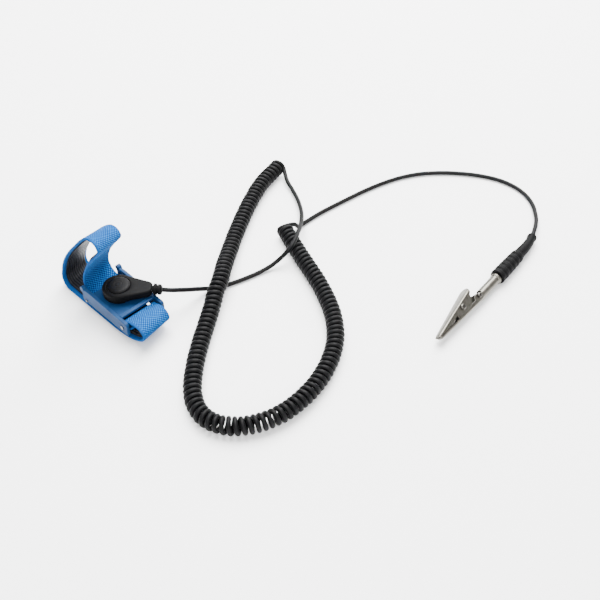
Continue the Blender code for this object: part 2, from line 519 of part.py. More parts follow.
# ---------------------------------------------------------------- connector
def make_connector(parent, rubber, steel, brass, ceramic):
    """Snap connector: housing, cap, socket, spring ring, resistor with its legs, strain relief."""
    neck = empty("neck_axis", (0, 0, 0), (0, 0, CONNECTOR_ANGLE), parent=parent)
    round_edge = 0.7
    housing = rod("connector_housing", HEAD_RADIUS, (0, 0, HEAD_BOTTOM), (0, 0, HEAD_TOP), sides=48,
                  mat=rubber, parent=neck)
    bevel(housing, round_edge, 2)
    half_angle = math.asin((HEAD_RADIUS - NECK_WIDTH / 2) / NECK_LENGTH)
    start_x, start_half = HEAD_RADIUS * math.sin(half_angle), HEAD_RADIUS * math.cos(half_angle)
    clear = CHEEK_TOP + UNDER_CLEARANCE
    outline = [(start_x - 3.0, clear), (start_x, clear), (NECK_LENGTH, LEAD_HEIGHT - NECK_HEIGHT / 2),
               (NECK_LENGTH, LEAD_HEIGHT + NECK_HEIGHT / 2), (HEAD_RADIUS * 0.7, HEAD_TOP - 0.15),
               (start_x, HEAD_TOP - 0.15), (start_x - 3.0, HEAD_TOP - 0.15)]

    def taper_width(x):
        share = (x - start_x) / (NECK_LENGTH - start_x)
        return start_half + (NECK_WIDTH / 2 - start_half) * share if share >= 0 else start_half * 0.985

    taper = side_plate("taper", outline, taper_width, parent=neck, cutter=True)
    combine(housing, bevel(taper, round_edge, 2, 50.0), "UNION")
    flange, body = STUD_FLANGE_RADIUS + 0.2, SOCKET_RADIUS + GAP
    socket_top = HEAD_TOP - 2.0
    recess = HEAD_TOP - 0.8
    cavity = LEAD_HEIGHT - 1.45
    cutters = [
        rod("flange_pocket", flange, (0, 0, HEAD_BOTTOM - 1), (0, 0, HEAD_BOTTOM + 0.8), parent=neck,
            cutter=True),
        rod("socket_pocket", body, (0, 0, HEAD_BOTTOM), (0, 0, socket_top + GAP), parent=neck,
            cutter=True),
        rod("cap_recess", CAP_RADIUS + GAP, (0, 0, recess), (0, 0, HEAD_TOP + 2), sides=32, parent=neck,
            cutter=True),
        box("resistor_pocket", (body - 1.0, -1.5, cavity), (NECK_LENGTH - 1.5, 1.5, LEAD_HEIGHT + 1.4),
            parent=neck, cutter=True),
        rod("wire_bore", 0.8, (NECK_LENGTH - 3, 0, LEAD_HEIGHT), (NECK_LENGTH + 2, 0, LEAD_HEIGHT),
            sides=12,
            parent=neck, cutter=True),
    ]
    for cutter in cutters:
        combine(housing, cutter)
    low = recess + GAP
    turned("connector_cap",
           [(0, CAP_TOP), (CAP_RADIUS - 2.2, CAP_TOP - 0.1), (CAP_RADIUS - 0.9, CAP_TOP - 0.3),
                             (CAP_RADIUS - 0.2, CAP_TOP - 0.7), (CAP_RADIUS, HEAD_TOP - 0.2),
                             (CAP_RADIUS, low), (0, low)],
           mat=rubber, parent=neck)
    bottom, bore = HEAD_BOTTOM + 0.1, STUD_BALL_RADIUS + 0.4
    groove = bottom + 0.65
    turned("snap_socket", [
        (0, socket_top), (SOCKET_RADIUS - 0.2, socket_top), (SOCKET_RADIUS, socket_top - 0.2),
        (SOCKET_RADIUS, bottom + 0.45), (STUD_FLANGE_RADIUS - 0.2, bottom + 0.4),
        (STUD_FLANGE_RADIUS - 0.2, bottom), (bore, bottom), (bore, groove),
        (bore + 0.45, groove), (bore + 0.45, groove + 0.6), (bore, groove + 0.6),
        (bore, socket_top - 0.8), (0, socket_top - 0.7)],
        mat=steel, parent=neck)
    ring_radius = bore + 0.02
    wire = 0.19
    ring = [(ring_radius + wire * math.cos(turn), groove + 0.3 + wire * math.sin(turn))
            for turn in np.radians(np.arange(90.0, -270.0, -60.0))]
    turned("socket_ring", ring, closed=True, mat=steel, parent=neck)
    resistor_start = body + 1.6
    resistor_end = resistor_start + RESISTOR_LENGTH
    rod("resistor", RESISTOR_RADIUS, (resistor_start, 0, LEAD_HEIGHT), (resistor_end, 0, LEAD_HEIGHT),
        sides=16,
        mat=ceramic, parent=neck)
    rod("resistor_leg_socket", 0.3, (SOCKET_RADIUS + 0.15, 0, LEAD_HEIGHT),
        (resistor_start - 0.15, 0, LEAD_HEIGHT),
        sides=8, mat=brass, parent=neck)
    rod("resistor_leg_cord", 0.3, (resistor_end + 0.15, 0, LEAD_HEIGHT), (NECK_LENGTH, 0, LEAD_HEIGHT),
        sides=8,
        mat=brass, parent=neck)
    core, first, second = 2.4, RIB_RADIUS, RIB_RADIUS - 0.3
    relief = turned("strain_relief", [
        (0, RELIEF_LENGTH), (core - 0.4, RELIEF_LENGTH), (second - 0.2, RELIEF_LENGTH - 0.3),
        (second, RELIEF_LENGTH - 0.7), (second, RELIEF_LENGTH - 1.3), (second - 0.2, RELIEF_LENGTH - 1.6),
        (core, RELIEF_LENGTH - 1.7), (core, RELIEF_LENGTH - 2.3),
        (first - 0.2, RELIEF_LENGTH - 2.4), (first, RELIEF_LENGTH - 2.7), (first, 0.7),
        (first - 0.2, 0.4), (core - 0.3, 0.3),
        (core - 0.3, 0), (0, 0)], steps=24, mat=rubber, parent=neck)
    relief.location = ((NECK_LENGTH + GAP) * MM, 0, LEAD_HEIGHT * MM)
    relief.rotation_euler = (0, math.pi / 2, 0)


# ---------------------------------------------------------------- cord
def lead_start():
    """Where the lead leaves the strain relief, in millimetres."""
    reach = NECK_LENGTH + GAP + RELIEF_LENGTH + GAP
    turn = math.radians(CONNECTOR_ANGLE)
    return (reach * math.cos(turn), reach * math.sin(turn), LEAD_HEIGHT)


def plug_point(distance):
    """A point on the plug's axis, in millimetres; positive towards the clip."""
    turn = math.radians(PLUG_HEADING)
    x, y, z = PLUG_PLACE
    return (x + distance * math.cos(turn), y + distance * math.sin(turn), z)


def end_beside(route, index, other, radius):
    """The last point of a lead that stops against the side of the coil, GAP off its surface."""
    axis = np.array(route[index], float)
    away = np.array(other, float) - axis
    return tuple(axis + away / np.linalg.norm(away) * (radius + GAP))


def make_cord(parent, rubber):
    """Lead, curly part as one fat tube, lead."""
    radius = CORD_DIAMETER / 2
    coil_radius = COIL_DIAMETER / 2
    end_a = end_beside(COIL_ROUTE, 1, LEAD_A_ROUTE[-1], coil_radius)
    tube("lead_a", smooth_path([lead_start()] + LEAD_A_ROUTE + [end_a], 5.5), radius, mat=rubber,
         parent=parent)
    tube("coil", smooth_path(COIL_ROUTE, 9.0), coil_radius, mat=rubber, parent=parent)
    last = np.array(BOOT_ROUTE[-1], float)
    before = np.array(BOOT_ROUTE[-2], float)
    end_b = tuple(last + (last - before) / np.linalg.norm(last - before) * GAP)
    tube("lead_b", smooth_path(LEAD_B_ROUTE + [end_b], 5.5), radius, mat=rubber, parent=parent)


# ---------------------------------------------------------------- banana plug
def lie_along(piece):
    """Turn a piece that was spun about Z to lie along its parent's X."""
    piece.rotation_euler = (0, math.pi / 2, 0)
    return piece


def make_plug(axis, parent, rubber, steel, brass):
    """Ribbed handle, flexible boot, pin and bow spring sleeve."""
    front, back = -0.4, -0.4 - HANDLE_LENGTH
    bore = COLLAR_RADIUS + GAP
    collar_end = -12.0
    pitch = (HANDLE_LENGTH - 1.4) / HANDLE_RIBS
    profile = [(0, collar_end - 0.4), (bore, collar_end - 0.4), (bore, front),
               (HANDLE_RADIUS - 0.5, front),
               (HANDLE_RADIUS - 0.1, front - 0.3)]
    for rib in range(HANDLE_RIBS):
        top = front - 0.8 - rib * pitch
        radius = HANDLE_RADIUS - 0.5 * (rib / HANDLE_RIBS) ** 2
        profile += [(radius, top), (radius, top - pitch * 0.55), (radius - 0.4, top - pitch * 0.7),
                    (radius - 0.4, top - pitch * 0.85)]
    profile += [(HANDLE_RADIUS - 0.9, back), (0, back)]
    lie_along(turned("plug_handle", profile, steps=24, mat=rubber, parent=axis))
    boot = smooth_path([plug_point(back - GAP)] + BOOT_ROUTE, 3.0)
    tube("plug_boot", boot, BOOT_RADIUS, mat=rubber, parent=parent)
    core, nose = PIN_CORE, PIN_CORE + 0.55
    lie_along(turned("plug_pin", [
        (0, PIN_LENGTH), (core * 0.7, PIN_LENGTH - 0.1), (nose - 0.1, PIN_LENGTH - 0.5),
        (nose, PIN_LENGTH - 1.1),
        (core, PIN_LENGTH - 1.3), (core, 0.1), (COLLAR_RADIUS, 0.05), (COLLAR_RADIUS, collar_end),
        (0, collar_end)],
        steps=24, mat=steel, parent=axis))
    inner, ends = core + 0.2, core + 0.45
    low, high = 0.9, PIN_LENGTH - 1.6
    outer = [(ends, high), (ends, high - 1.2)]
    for share in np.linspace(0.15, 0.85, 6):
        outer.append((ends + (BOW_RADIUS - ends) * math.sin(math.pi * share),
                      high - 1.2 - share * (high - low - 2.4)))
    outer += [(ends, low + 1.2), (ends, low), (inner, low), (inner, high)]
    sleeve = lie_along(turned("bow_spring", outer, steps=24, closed=True, mat=brass, parent=axis))
    slot_low, slot_high = low + 1.8, high - 1.8
    for number in range(2):
        slot = box("bow_slot", (slot_low, -0.3, -4), (slot_high, 0.3, 4), parent=axis, cutter=True)
        slot.rotation_euler = (math.radians(45 + 90 * number), 0, 0)
        combine(sleeve, slot)


# ---------------------------------------------------------------- alligator clip
def upper_half_width(x):
    """Half width of the upper jaw and its lever at a place along the clip."""
    share = (x - LEVER_BACK) / (CLIP_LENGTH - LEVER_BACK)
    return LEVER_END_WIDTH + (UPPER_TIP_WIDTH - LEVER_END_WIDTH) * share


def lower_half_width(x):
    """Half width of the lower jaw."""
    share = (x - BARREL_LENGTH) / (CLIP_LENGTH - BARREL_LENGTH)
    return LOWER_REAR_WIDTH + (LOWER_TIP_WIDTH - LOWER_REAR_WIDTH) * share


def lever_top(x):
    """Height of the upper sheet's outer face at a place along the clip."""
    share = (x - LEVER_BACK) / (CLIP_LENGTH + 0.2 - LEVER_BACK)
    return LEVER_HEIGHT + (TIP_HEIGHT - LEVER_HEIGHT) * share


def teeth(start, stop, middle):
    """A zigzag edge at a middle height."""
    count = round(abs(stop - start) / TOOTH_PITCH) * 2
    return [(x, middle + TOOTH_DEPTH / 2 * (-1) ** i) for i,
            x in enumerate(np.linspace(start, stop, count + 1))]


def make_lower_jaw(axis, roll, steel):
    """Barrel with its rolled ring, running on into the channel of the lower jaw."""
    jaw = lie_along(turned("clip_lower_jaw", [
        (BARREL_BORE, BARREL_LENGTH), (BARREL_RADIUS, BARREL_LENGTH), (BARREL_RADIUS, 1.9),
        (RING_RADIUS - 0.1, 1.7),
        (RING_RADIUS, 1.4), (RING_RADIUS, 0.5), (RING_RADIUS - 0.3, 0.2), (BARREL_BORE + 0.2, 0.2),
        (BARREL_BORE, 0.4)],
        closed=True, mat=steel, parent=roll))
    start = BARREL_LENGTH - 0.5
    rear = BARREL_RADIUS - LOWER_REAR_STEP
    outline = [(start, -rear), (20.0, -1.9), (26.0, -1.65), (CLIP_LENGTH - 1.1, -0.9),
               (CLIP_LENGTH, -0.3)]
    outline += teeth(CLIP_LENGTH, 42.6, 0.45)
    outline += [(41.4, 0.1), (39.5, -0.5), (37.2, 0.2), (36.4, 2.6), (35.5, 4.0), (34.0, 4.7),
                (31.0, 4.7), (29.4, 4.0),
                (27.5, 2.4), (26.6, 0.6), (22.0, 0.6), (21.6, 2.0), (21.0, rear + 0.1),
                (start, rear + 0.1)]
    channel = side_plate("channel", outline, lower_half_width, parent=roll, cutter=True)
    combine(jaw, channel, "UNION")
    inside = [(start - 1.0, -rear + SHEET), (20.0, -1.9 + SHEET), (26.0, -1.65 + SHEET),
              (CLIP_LENGTH - SHEET, -0.9 + SHEET),
              (CLIP_LENGTH - SHEET, 7.0), (BARREL_LENGTH, 7.0), (BARREL_LENGTH, 1.6), (start - 1.0, 1.6)]
    combine(jaw,
            side_plate("channel_inside", inside,
                       lambda x: min(lower_half_width(x) - SHEET, BARREL_BORE - 0.1),
                            parent=roll, cutter=True))
    combine(jaw,
            rod("ear_hole", CLIP_RIVET_RADIUS + PIN_CLEARANCE, (RIVET_X, -6, RIVET_Z),
                (RIVET_X, 6, RIVET_Z),
                     sides=16, parent=roll, cutter=True))
    combine(jaw, rod("screw_hole", 0.9, (SCREW_X, 0.5, SCREW_Z), (SCREW_X, 6, SCREW_Z), sides=12,
                     parent=roll, cutter=True))
    return jaw


def make_upper_jaw(roll, steel):
    """Upper jaw and lever, bent from one sheet; it turns on the rivet."""
    pivot = empty("jaw_axis", (RIVET_X, 0, RIVET_Z), parent=roll)
    back = LEVER_BACK
    outline = [(back, LEVER_HEIGHT), (back, LEVER_HEIGHT - 0.7), (22.3, LEVER_HEIGHT - 1.5),
               (23.4, LEVER_HEIGHT - 2.0),
               (24.2, 5.8), (25.0, 3.4), (26.2, 1.3), (28.0, 0.5), (30.0, 0.2), (34.0, 0.4), (36.5, 1.1),
               (38.0, 2.1), (39.6, 2.0), (41.2, 1.4)]
    outline += teeth(42.6, CLIP_LENGTH, 0.9)
    outline += [(CLIP_LENGTH + 0.2, TIP_HEIGHT)]
    outline = [(x - RIVET_X, z - RIVET_Z) for x, z in outline]
    jaw = side_plate("clip_upper_jaw", outline, lambda x: upper_half_width(x + RIVET_X), mat=steel,
                     parent=pivot)
    rear, front = back - 2.5, CLIP_LENGTH - SHEET
    inside = [(rear, lever_top(rear) - SHEET), (front, lever_top(front) - SHEET), (front, -3.0),
              (rear, -3.0)]
    inside = [(x - RIVET_X, z - RIVET_Z) for x, z in inside]
    combine(jaw, side_plate("jaw_inside", inside, lambda x: upper_half_width(x + RIVET_X) - SHEET,
                            parent=pivot, cutter=True))
    combine(jaw, rod("jaw_hole", CLIP_RIVET_RADIUS + PIN_CLEARANCE, (0, -6, 0), (0, 6, 0), sides=16,
                     parent=pivot, cutter=True))
    return jaw


def make_clip(axis, steel, bright):
    """Lower jaw with its barrel, upper jaw with its lever, rivet, torsion spring and wire screw."""
    roll = empty("clip_axis", (0, 0, 0), (CLIP_ROLL, 0, 0), parent=axis)
    make_lower_jaw(axis, roll, steel)
    make_upper_jaw(roll, steel)
    inner = upper_half_width(RIVET_X) + GAP
    shank, head = CLIP_RIVET_RADIUS, CLIP_RIVET_RADIUS + 0.7
    rivet = turned("clip_rivet", [
        (0, inner + 0.7), (head - 0.5, inner + 0.6), (head, inner + 0.3), (head, inner), (shank, inner),
        (shank, -inner),
        (head, -inner), (head, -inner - 0.3), (head - 0.5, -inner - 0.6), (0, -inner - 0.7)],
        steps=20, mat=bright, parent=roll)
    rivet.location = (RIVET_X * MM, 0, RIVET_Z * MM)
    rivet.rotation_euler = (math.pi / 2, 0, 0)
    wall = lower_half_width(SCREW_X)
    screw = turned("clip_screw", [
        (0, wall + GAP + 1.0), (0.8, wall + GAP + 0.95), (1.25, wall + GAP + 0.6), (1.3, wall + GAP),
        (0.65, wall + GAP),
        (0.65, wall - 1.4), (0, wall - 1.5)], steps=20, mat=bright, parent=roll)
    screw.location = (SCREW_X * MM, 0, SCREW_Z * MM)
    screw.rotation_euler = (-math.pi / 2, 0, 0)
    slot = box("screw_slot", (-2.0, -0.2, wall + GAP + 0.55), (2.0, 0.2, wall + 3.0), parent=roll,
               cutter=True)
    slot.location = screw.location
    slot.rotation_euler = screw.rotation_euler
    combine(screw, slot)
    turns = np.linspace(0.0, SPRING_TURNS * 2 * math.pi, SPRING_TURNS * 20 + 1)
    reach = 1.05
    helix = np.column_stack([RIVET_X + SPRING_RADIUS * np.sin(turns),
                             -reach + 2 * reach * turns / turns[-1],
                             RIVET_Z - SPRING_RADIUS * np.cos(turns)])
    low_leg = np.array([(25.0, -reach, -0.35), (28.0, -reach, 0.6), (31.0, -reach, 1.7)])
    under = SHEET + GAP + SPRING_WIRE
    high_leg = np.array([(31.0, reach, RIVET_Z + SPRING_RADIUS + 0.1),
                         (28.4, reach, lever_top(28.4) - under),
                         (26.0, reach, lever_top(26.0) - under)])
    tube("clip_spring", np.vstack([low_leg, helix[:-9], high_leg]), SPRING_WIRE, mat=bright, parent=roll)


# ---------------------------------------------------------------- assembly
FABRIC = material("blue_elastic", (0.06, 0.25, 0.55), 0.9)
LINING = material("conductive_lining", (0.02, 0.02, 0.025), 0.85)
BUCKLE = material("blue_plastic", (0.01, 0.07, 0.22), 0.35)
RUBBER = material("black_plastic", (0.012, 0.012, 0.013), 0.4)
CABLE = material("black_cable", (0.01, 0.01, 0.011), 0.45)
STAINLESS = material("stainless_steel", (0.62, 0.62, 0.6), 0.28, 1.0)
NICKEL = material("nickel_plate", (0.72, 0.69, 0.62), 0.22, 1.0)
SPRING = material("spring_bronze", (0.7, 0.55, 0.32), 0.3, 1.0)
CERAMIC = material("resistor_body", (0.72, 0.62, 0.42), 0.5)

strap = empty("strap_axis")
make_band(strap, FABRIC, LINING)
make_buckle(strap, BUCKLE)
make_strap_hardware(strap, STAINLESS, BUCKLE)
make_connector(None, RUBBER, STAINLESS, NICKEL, CERAMIC)
make_cord(None, CABLE)
plug = empty("plug_axis", PLUG_PLACE, (0, 0, PLUG_HEADING))
make_plug(plug, None, RUBBER, NICKEL, SPRING)
make_clip(plug, NICKEL, STAINLESS)
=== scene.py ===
# %% [markdown]
# An ESD wrist strap, laid out on a table: a blue elastic band with a clamp buckle, a black snap
# connector, a curly cord, a banana plug and an alligator clip pushed over it. The frame holds the working
# parts at their real places. Every cell below makes one visible piece or finish.

# %% Frame and tools
import math

import bmesh
import bpy
import numpy as np
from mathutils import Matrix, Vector


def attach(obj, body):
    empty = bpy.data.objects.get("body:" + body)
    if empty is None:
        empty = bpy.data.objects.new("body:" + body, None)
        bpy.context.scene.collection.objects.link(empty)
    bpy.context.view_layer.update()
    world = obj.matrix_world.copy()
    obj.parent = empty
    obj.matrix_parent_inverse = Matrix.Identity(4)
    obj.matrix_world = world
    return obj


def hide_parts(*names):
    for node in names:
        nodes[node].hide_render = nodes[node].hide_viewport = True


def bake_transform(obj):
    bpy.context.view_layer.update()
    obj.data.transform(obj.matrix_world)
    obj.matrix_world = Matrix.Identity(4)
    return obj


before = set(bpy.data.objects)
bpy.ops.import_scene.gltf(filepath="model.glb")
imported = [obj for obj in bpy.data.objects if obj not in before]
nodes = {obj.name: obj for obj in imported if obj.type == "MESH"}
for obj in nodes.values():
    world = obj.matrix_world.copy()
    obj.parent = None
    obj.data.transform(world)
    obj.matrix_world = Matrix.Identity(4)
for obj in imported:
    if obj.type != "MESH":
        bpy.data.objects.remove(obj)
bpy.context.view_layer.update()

MM = 0.001

# %% [markdown]
# The camera stands off the front right corner and looks down at 45 degrees, far enough away that the
# long cord keeps its proportions. A lens of about 60 mm on a 36 mm sensor takes in the whole object.

# %% Camera
VIEW_AZIMUTH = math.radians(45.0)
VIEW_ELEVATION = math.radians(45.0)
VIEW_DISTANCE = 0.497
VIEW_TARGET = Vector((0.0571, 0.0670, 0.0))
LENS = 59.58

forward = Vector((-math.sin(VIEW_AZIMUTH) * math.cos(VIEW_ELEVATION),
                  math.cos(VIEW_AZIMUTH) * math.cos(VIEW_ELEVATION), -math.sin(VIEW_ELEVATION)))
camera = bpy.data.objects.new("camera", bpy.data.cameras.new("camera"))
bpy.context.scene.collection.objects.link(camera)
camera.location = VIEW_TARGET - forward * VIEW_DISTANCE
camera.rotation_euler = forward.to_track_quat("-Z", "Y").to_euler()
camera.data.lens = LENS
camera.data.clip_start = 0.01
bpy.context.scene.camera = camera
print("camera at", tuple(round(x, 4) for x in camera.location))

# %% [markdown]
# Curves and surfaces are worked out as arrays. Three helpers do most of it: an even curve through a few
# given points, a mesh from a grid of points, and a profile spun round an axis.


# %% Curve helper
def smooth_path(points, spacing):
    """Even points on a centripetal Catmull-Rom curve: each span blends its four nearest points
    linearly, twice over."""
    points = np.array(points, float)
    ends = np.vstack([2 * points[0] - points[1], points, 2 * points[-1] - points[-2]])
    fine = []
    for p0, p1, p2, p3 in zip(ends, ends[1:], ends[2:], ends[3:]):
        t0 = 0.0
        t1 = t0 + np.linalg.norm(p1 - p0) ** 0.5
        t2 = t1 + np.linalg.norm(p2 - p1) ** 0.5
        t3 = t2 + np.linalg.norm(p3 - p2) ** 0.5
        t = np.linspace(t1, t2, 40, endpoint=False)[:, None]
        a1 = (t1 - t) / (t1 - t0) * p0 + (t - t0) / (t1 - t0) * p1
        a2 = (t2 - t) / (t2 - t1) * p1 + (t - t1) / (t2 - t1) * p2
        a3 = (t3 - t) / (t3 - t2) * p2 + (t - t2) / (t3 - t2) * p3
        b1 = (t2 - t) / (t2 - t0) * a1 + (t - t0) / (t2 - t0) * a2
        b2 = (t3 - t) / (t3 - t1) * a2 + (t - t1) / (t3 - t1) * a3
        fine.append((t2 - t) / (t2 - t1) * b1 + (t - t1) / (t2 - t1) * b2)
    fine = np.vstack(fine + [points[-1:]])
    return even_path(fine, spacing)


def even_path(points, spacing):
    """The same line with even steps: each coordinate is interpolated at equal distances along it."""
    length = np.concatenate([[0.0], np.cumsum(np.linalg.norm(np.diff(points, axis=0), axis=1))])
    even = np.linspace(0.0, length[-1], max(2, round(length[-1] / spacing) + 1))
    return np.column_stack([np.interp(even, length, column) for column in points.T])


def path_length(points):
    """Sum of the straight steps between the points."""
    return float(np.linalg.norm(np.diff(points, axis=0), axis=1).sum())


def unit(vectors):
    """Each vector divided by its length."""
    return vectors / np.linalg.norm(vectors, axis=-1, keepdims=True)


def smoothstep(x, low, high):
    """0 below low, 1 above high, 3t^2 - 2t^3 between them."""
    t = np.clip((np.asarray(x, float) - low) / (high - low), 0.0, 1.0)
    return t * t * (3 - 2 * t)


# %% Grid helper
def grid_mesh(name, points, wrap=False, caps=True, **attributes):
    """A mesh over points[i, j] in millimetres, with UV = (i, j) as shares of the grid.

    wrap joins the last column to the first; caps closes the first and last row of a wrapped grid.
    Each further argument is an array of one number a point, kept as a mesh attribute of that name."""
    rows, columns = points.shape[:2]
    index = np.arange(rows * columns).reshape(rows, columns)
    spans = columns if wrap else columns - 1
    i, j = np.meshgrid(np.arange(rows - 1), np.arange(spans), indexing="ij")
    i, j = i.ravel(), j.ravel()
    k = (j + 1) % columns
    faces = np.column_stack([index[i, j], index[i, k], index[i + 1, k], index[i + 1, j]]).tolist()
    corner_u = np.column_stack([i, i, i + 1, i + 1]) / (rows - 1)
    corner_v = np.column_stack([j, j + 1, j + 1, j]) / spans
    uv = np.stack([corner_u, corner_v], axis=-1).reshape(-1, 2)
    if wrap and caps:
        for row, order in ((0, -1), (rows - 1, 1)):
            faces.append(index[row][::order].tolist())
            rim = np.column_stack([np.full(columns, row / (rows - 1)), np.linspace(0, 1, columns)[::order]])
            uv = np.vstack([uv, rim])
    mesh = bpy.data.meshes.new(name)
    mesh.from_pydata((points.reshape(-1, 3) * MM).tolist(), [], faces)
    mesh.uv_layers.new(name="UVMap").data.foreach_set("uv", uv.ravel())
    for key, values in attributes.items():
        mesh.attributes.new(key, "FLOAT", "POINT").data.foreach_set("value",
                                                                    values.astype(np.float32).ravel())
    bm = bmesh.new()
    bm.from_mesh(mesh)
    bmesh.ops.remove_doubles(bm, verts=bm.verts, dist=1e-7)
    bmesh.ops.dissolve_degenerate(bm, edges=bm.edges, dist=1e-8)
    bmesh.ops.recalc_face_normals(bm, faces=bm.faces)
    bm.to_mesh(mesh)
    bm.free()
    mesh.shade_smooth()
    piece = bpy.data.objects.new(name, mesh)
    bpy.context.scene.collection.objects.link(piece)
    return piece


# %% Spun and carried profiles
def filleted(corners, radius, steps=5):
    """The polyline with each inner corner replaced by an arc that touches both of its sides."""
    corners = [np.array(c, float) for c in corners]
    out = [corners[0]]
    for before, corner, after in zip(corners, corners[1:], corners[2:]):
        a, b = before - corner, after - corner
        la, lb = np.linalg.norm(a), np.linalg.norm(b)
        half = math.acos(np.clip(a @ b / la / lb, -1, 1)) / 2
        if half > 1.5:
            out.append(corner)
            continue
        reach = min(radius / math.tan(half), la * 0.45, lb * 0.45)
        start, end = corner + a / la * reach, corner + b / lb * reach
        t = np.linspace(0, 1, steps)[:, None]
        out.extend((1 - t) ** 2 * start + 2 * t * (1 - t) * corner + t ** 2 * end)
    out.append(corners[-1])
    return np.array(out)


def spun(name, profile, origin, axis, steps=56):
    """A profile of (radius, distance) turned round an axis: origin + distance * axis + radius * (cos,
    sin)."""
    axis = unit(np.array(axis, float))
    side = unit(np.cross(axis, [0.3, 0.2, 1.0] if abs(axis[2]) < 0.9 else [1.0, 0.0, 0.0]))
    other = np.cross(axis, side)
    turn = np.linspace(0, 2 * math.pi, steps, endpoint=False)
    ring = np.cos(turn)[:, None] * side + np.sin(turn)[:, None] * other
    radius, along = profile[:, 0], profile[:, 1]
    points = np.array(origin, float) + along[:, None, None] * axis + radius[:, None, None] * ring[None]
    return grid_mesh(name, points, wrap=True, caps=False)


def carried(name, path, radii, reference, sides=12, caps=True):
    """A round section carried along a path: each ring lies square to the path, turned from the
    reference vector."""
    tangent = unit(np.gradient(path, axis=0))
    normal = unit(reference - (reference * tangent).sum(axis=1, keepdims=True) * tangent)
    other = np.cross(tangent, normal)
    turn = np.linspace(0, 2 * math.pi, sides, endpoint=False)
    ring = np.cos(turn)[None, :, None] * normal[:, None] + np.sin(turn)[None, :, None] * other[:, None]
    points = path[:, None] + np.broadcast_to(radii, len(path))[:, None, None] * ring
    return grid_mesh(name, points, wrap=True, caps=caps)


# %% [markdown]
# Finishes are built from nodes. Plastic gets a fine moulded grain, metal a slight unevenness from plating
# and handling, and cloth its weave. All of them read the piece's own object coordinates or its UV map, so
# they stay put when a piece moves.


# %% Material helpers
class Finish:
    """A Principled material and short calls for the nodes behind it."""

    def __init__(self, name, colour, roughness, metallic=0.0, specular=0.5):
        self.material = bpy.data.materials.new(name)
        self.material.use_nodes = True
        self.tree = self.material.node_tree
        self.shader = self.tree.nodes["Principled BSDF"]
        self.shader.inputs["Base Color"].default_value = (*colour, 1.0)
        self.shader.inputs["Roughness"].default_value = roughness
        self.shader.inputs["Metallic"].default_value = metallic
        self.shader.inputs["Specular IOR Level"].default_value = specular

    def node(self, kind, **values):
        """A node with its attributes set."""
        node = self.tree.nodes.new(kind)
        for key, value in values.items():
            setattr(node, key, value)
        return node

    def join(self, output, socket):
        """A link from an output to an input."""
        self.tree.links.new(output, socket)

    def math(self, operation, first, second=None):
        """One arithmetic step on sockets or numbers."""
        node = self.node("ShaderNodeMath", operation=operation)
        for socket, value in zip(node.inputs, (first, second)):
            if value is None:
                continue
            if isinstance(value, (int, float)):
                socket.default_value = value
            else:
                self.join(value, socket)
        return node.outputs[0]

    def place(self, kind):
        """Object coordinates, or the UV map."""
        return self.node("ShaderNodeTexCoord").outputs[kind]

    def noise(self, scale, detail=3.0, where="Object", stretch=(1, 1, 1)):
        """Noise of a given number of lumps per metre, or per UV unit."""
        mapping = self.node("ShaderNodeMapping")
        mapping.inputs["Scale"].default_value = stretch
        self.join(self.place(where), mapping.inputs["Vector"])
        noise = self.node("ShaderNodeTexNoise")
        noise.inputs["Scale"].default_value = scale
        noise.inputs["Detail"].default_value = detail
        self.join(mapping.outputs[0], noise.inputs["Vector"])
        return noise.outputs["Fac"]

    def ramp(self, factor, stops):
        """A colour ramp through (position, colour) stops."""
        node = self.node("ShaderNodeValToRGB")
        while len(node.color_ramp.elements) < len(stops):
            node.color_ramp.elements.new(0.5)
        for element, (position, colour) in zip(node.color_ramp.elements, stops):
            element.position = position
            element.color = (*colour, 1.0)
        self.join(factor, node.inputs["Fac"])
        return node.outputs["Color"]

    def spread(self, factor, low, high):
        """A factor of 0 to 1 stretched to low to high."""
        node = self.node("ShaderNodeMapRange")
        self.join(factor, node.inputs["Value"])
        node.inputs["To Min"].default_value = low
        node.inputs["To Max"].default_value = high
        return node.outputs["Result"]

    def bump(self, height, depth, distance=0.0002, after=None):
        """A bump of a given strength, on top of an earlier one."""
        node = self.node("ShaderNodeBump")
        node.inputs["Strength"].default_value = depth
        node.inputs["Distance"].default_value = distance
        self.join(height, node.inputs["Height"])
        if after is not None:
            self.join(after, node.inputs["Normal"])
        return node.outputs["Normal"]

    def connect(self, **sockets):
        """Sockets of the shader by name, with _ for a space."""
        for key, output in sockets.items():
            self.join(output, self.shader.inputs[key.replace("_", " ")])
        return self.material


def moulded(name, colour, roughness, specular, grain=0.25, grain_scale=9000.0, lift=1.6):
    """Moulded plastic: a fine grain, soft cloudy changes in gloss, and slightly lighter where it is
    handled."""
    finish = Finish(name, colour, roughness, specular=specular)
    clouds = finish.noise(260.0, 4.0)
    lighter = tuple(min(1.0, c * lift) for c in colour)
    shade = finish.ramp(clouds, [(0.35, colour), (0.75, lighter)])
    gloss = finish.spread(clouds, roughness - 0.06, roughness + 0.1)
    skin = finish.bump(finish.noise(grain_scale, 2.0), grain, 0.00004)
    wave = finish.bump(clouds, 0.12, 0.0002, after=skin)
    return finish.connect(Base_Color=shade, Roughness=gloss, Normal=wave)


def plated(name, colour, roughness, stretch=(1, 1, 1), scratch=0.25, dark=0.75):
    """Plated or bare metal: uneven tone, fine scratches drawn out along one direction, small dents in
    gloss."""
    finish = Finish(name, colour, roughness, metallic=1.0)
    cloud = finish.noise(420.0, 5.0)
    shade = finish.ramp(cloud, [(0.3, tuple(c * dark for c in colour)), (0.7, colour)])
    lines = finish.noise(5200.0, 3.0, stretch=stretch)
    gloss = finish.spread(lines, roughness - 0.08, roughness + 0.16)
    rough = finish.bump(lines, scratch, 0.00003)
    dents = finish.bump(cloud, 0.15, 0.00015, after=rough)
    return finish.connect(Base_Color=shade, Roughness=gloss, Normal=dents)


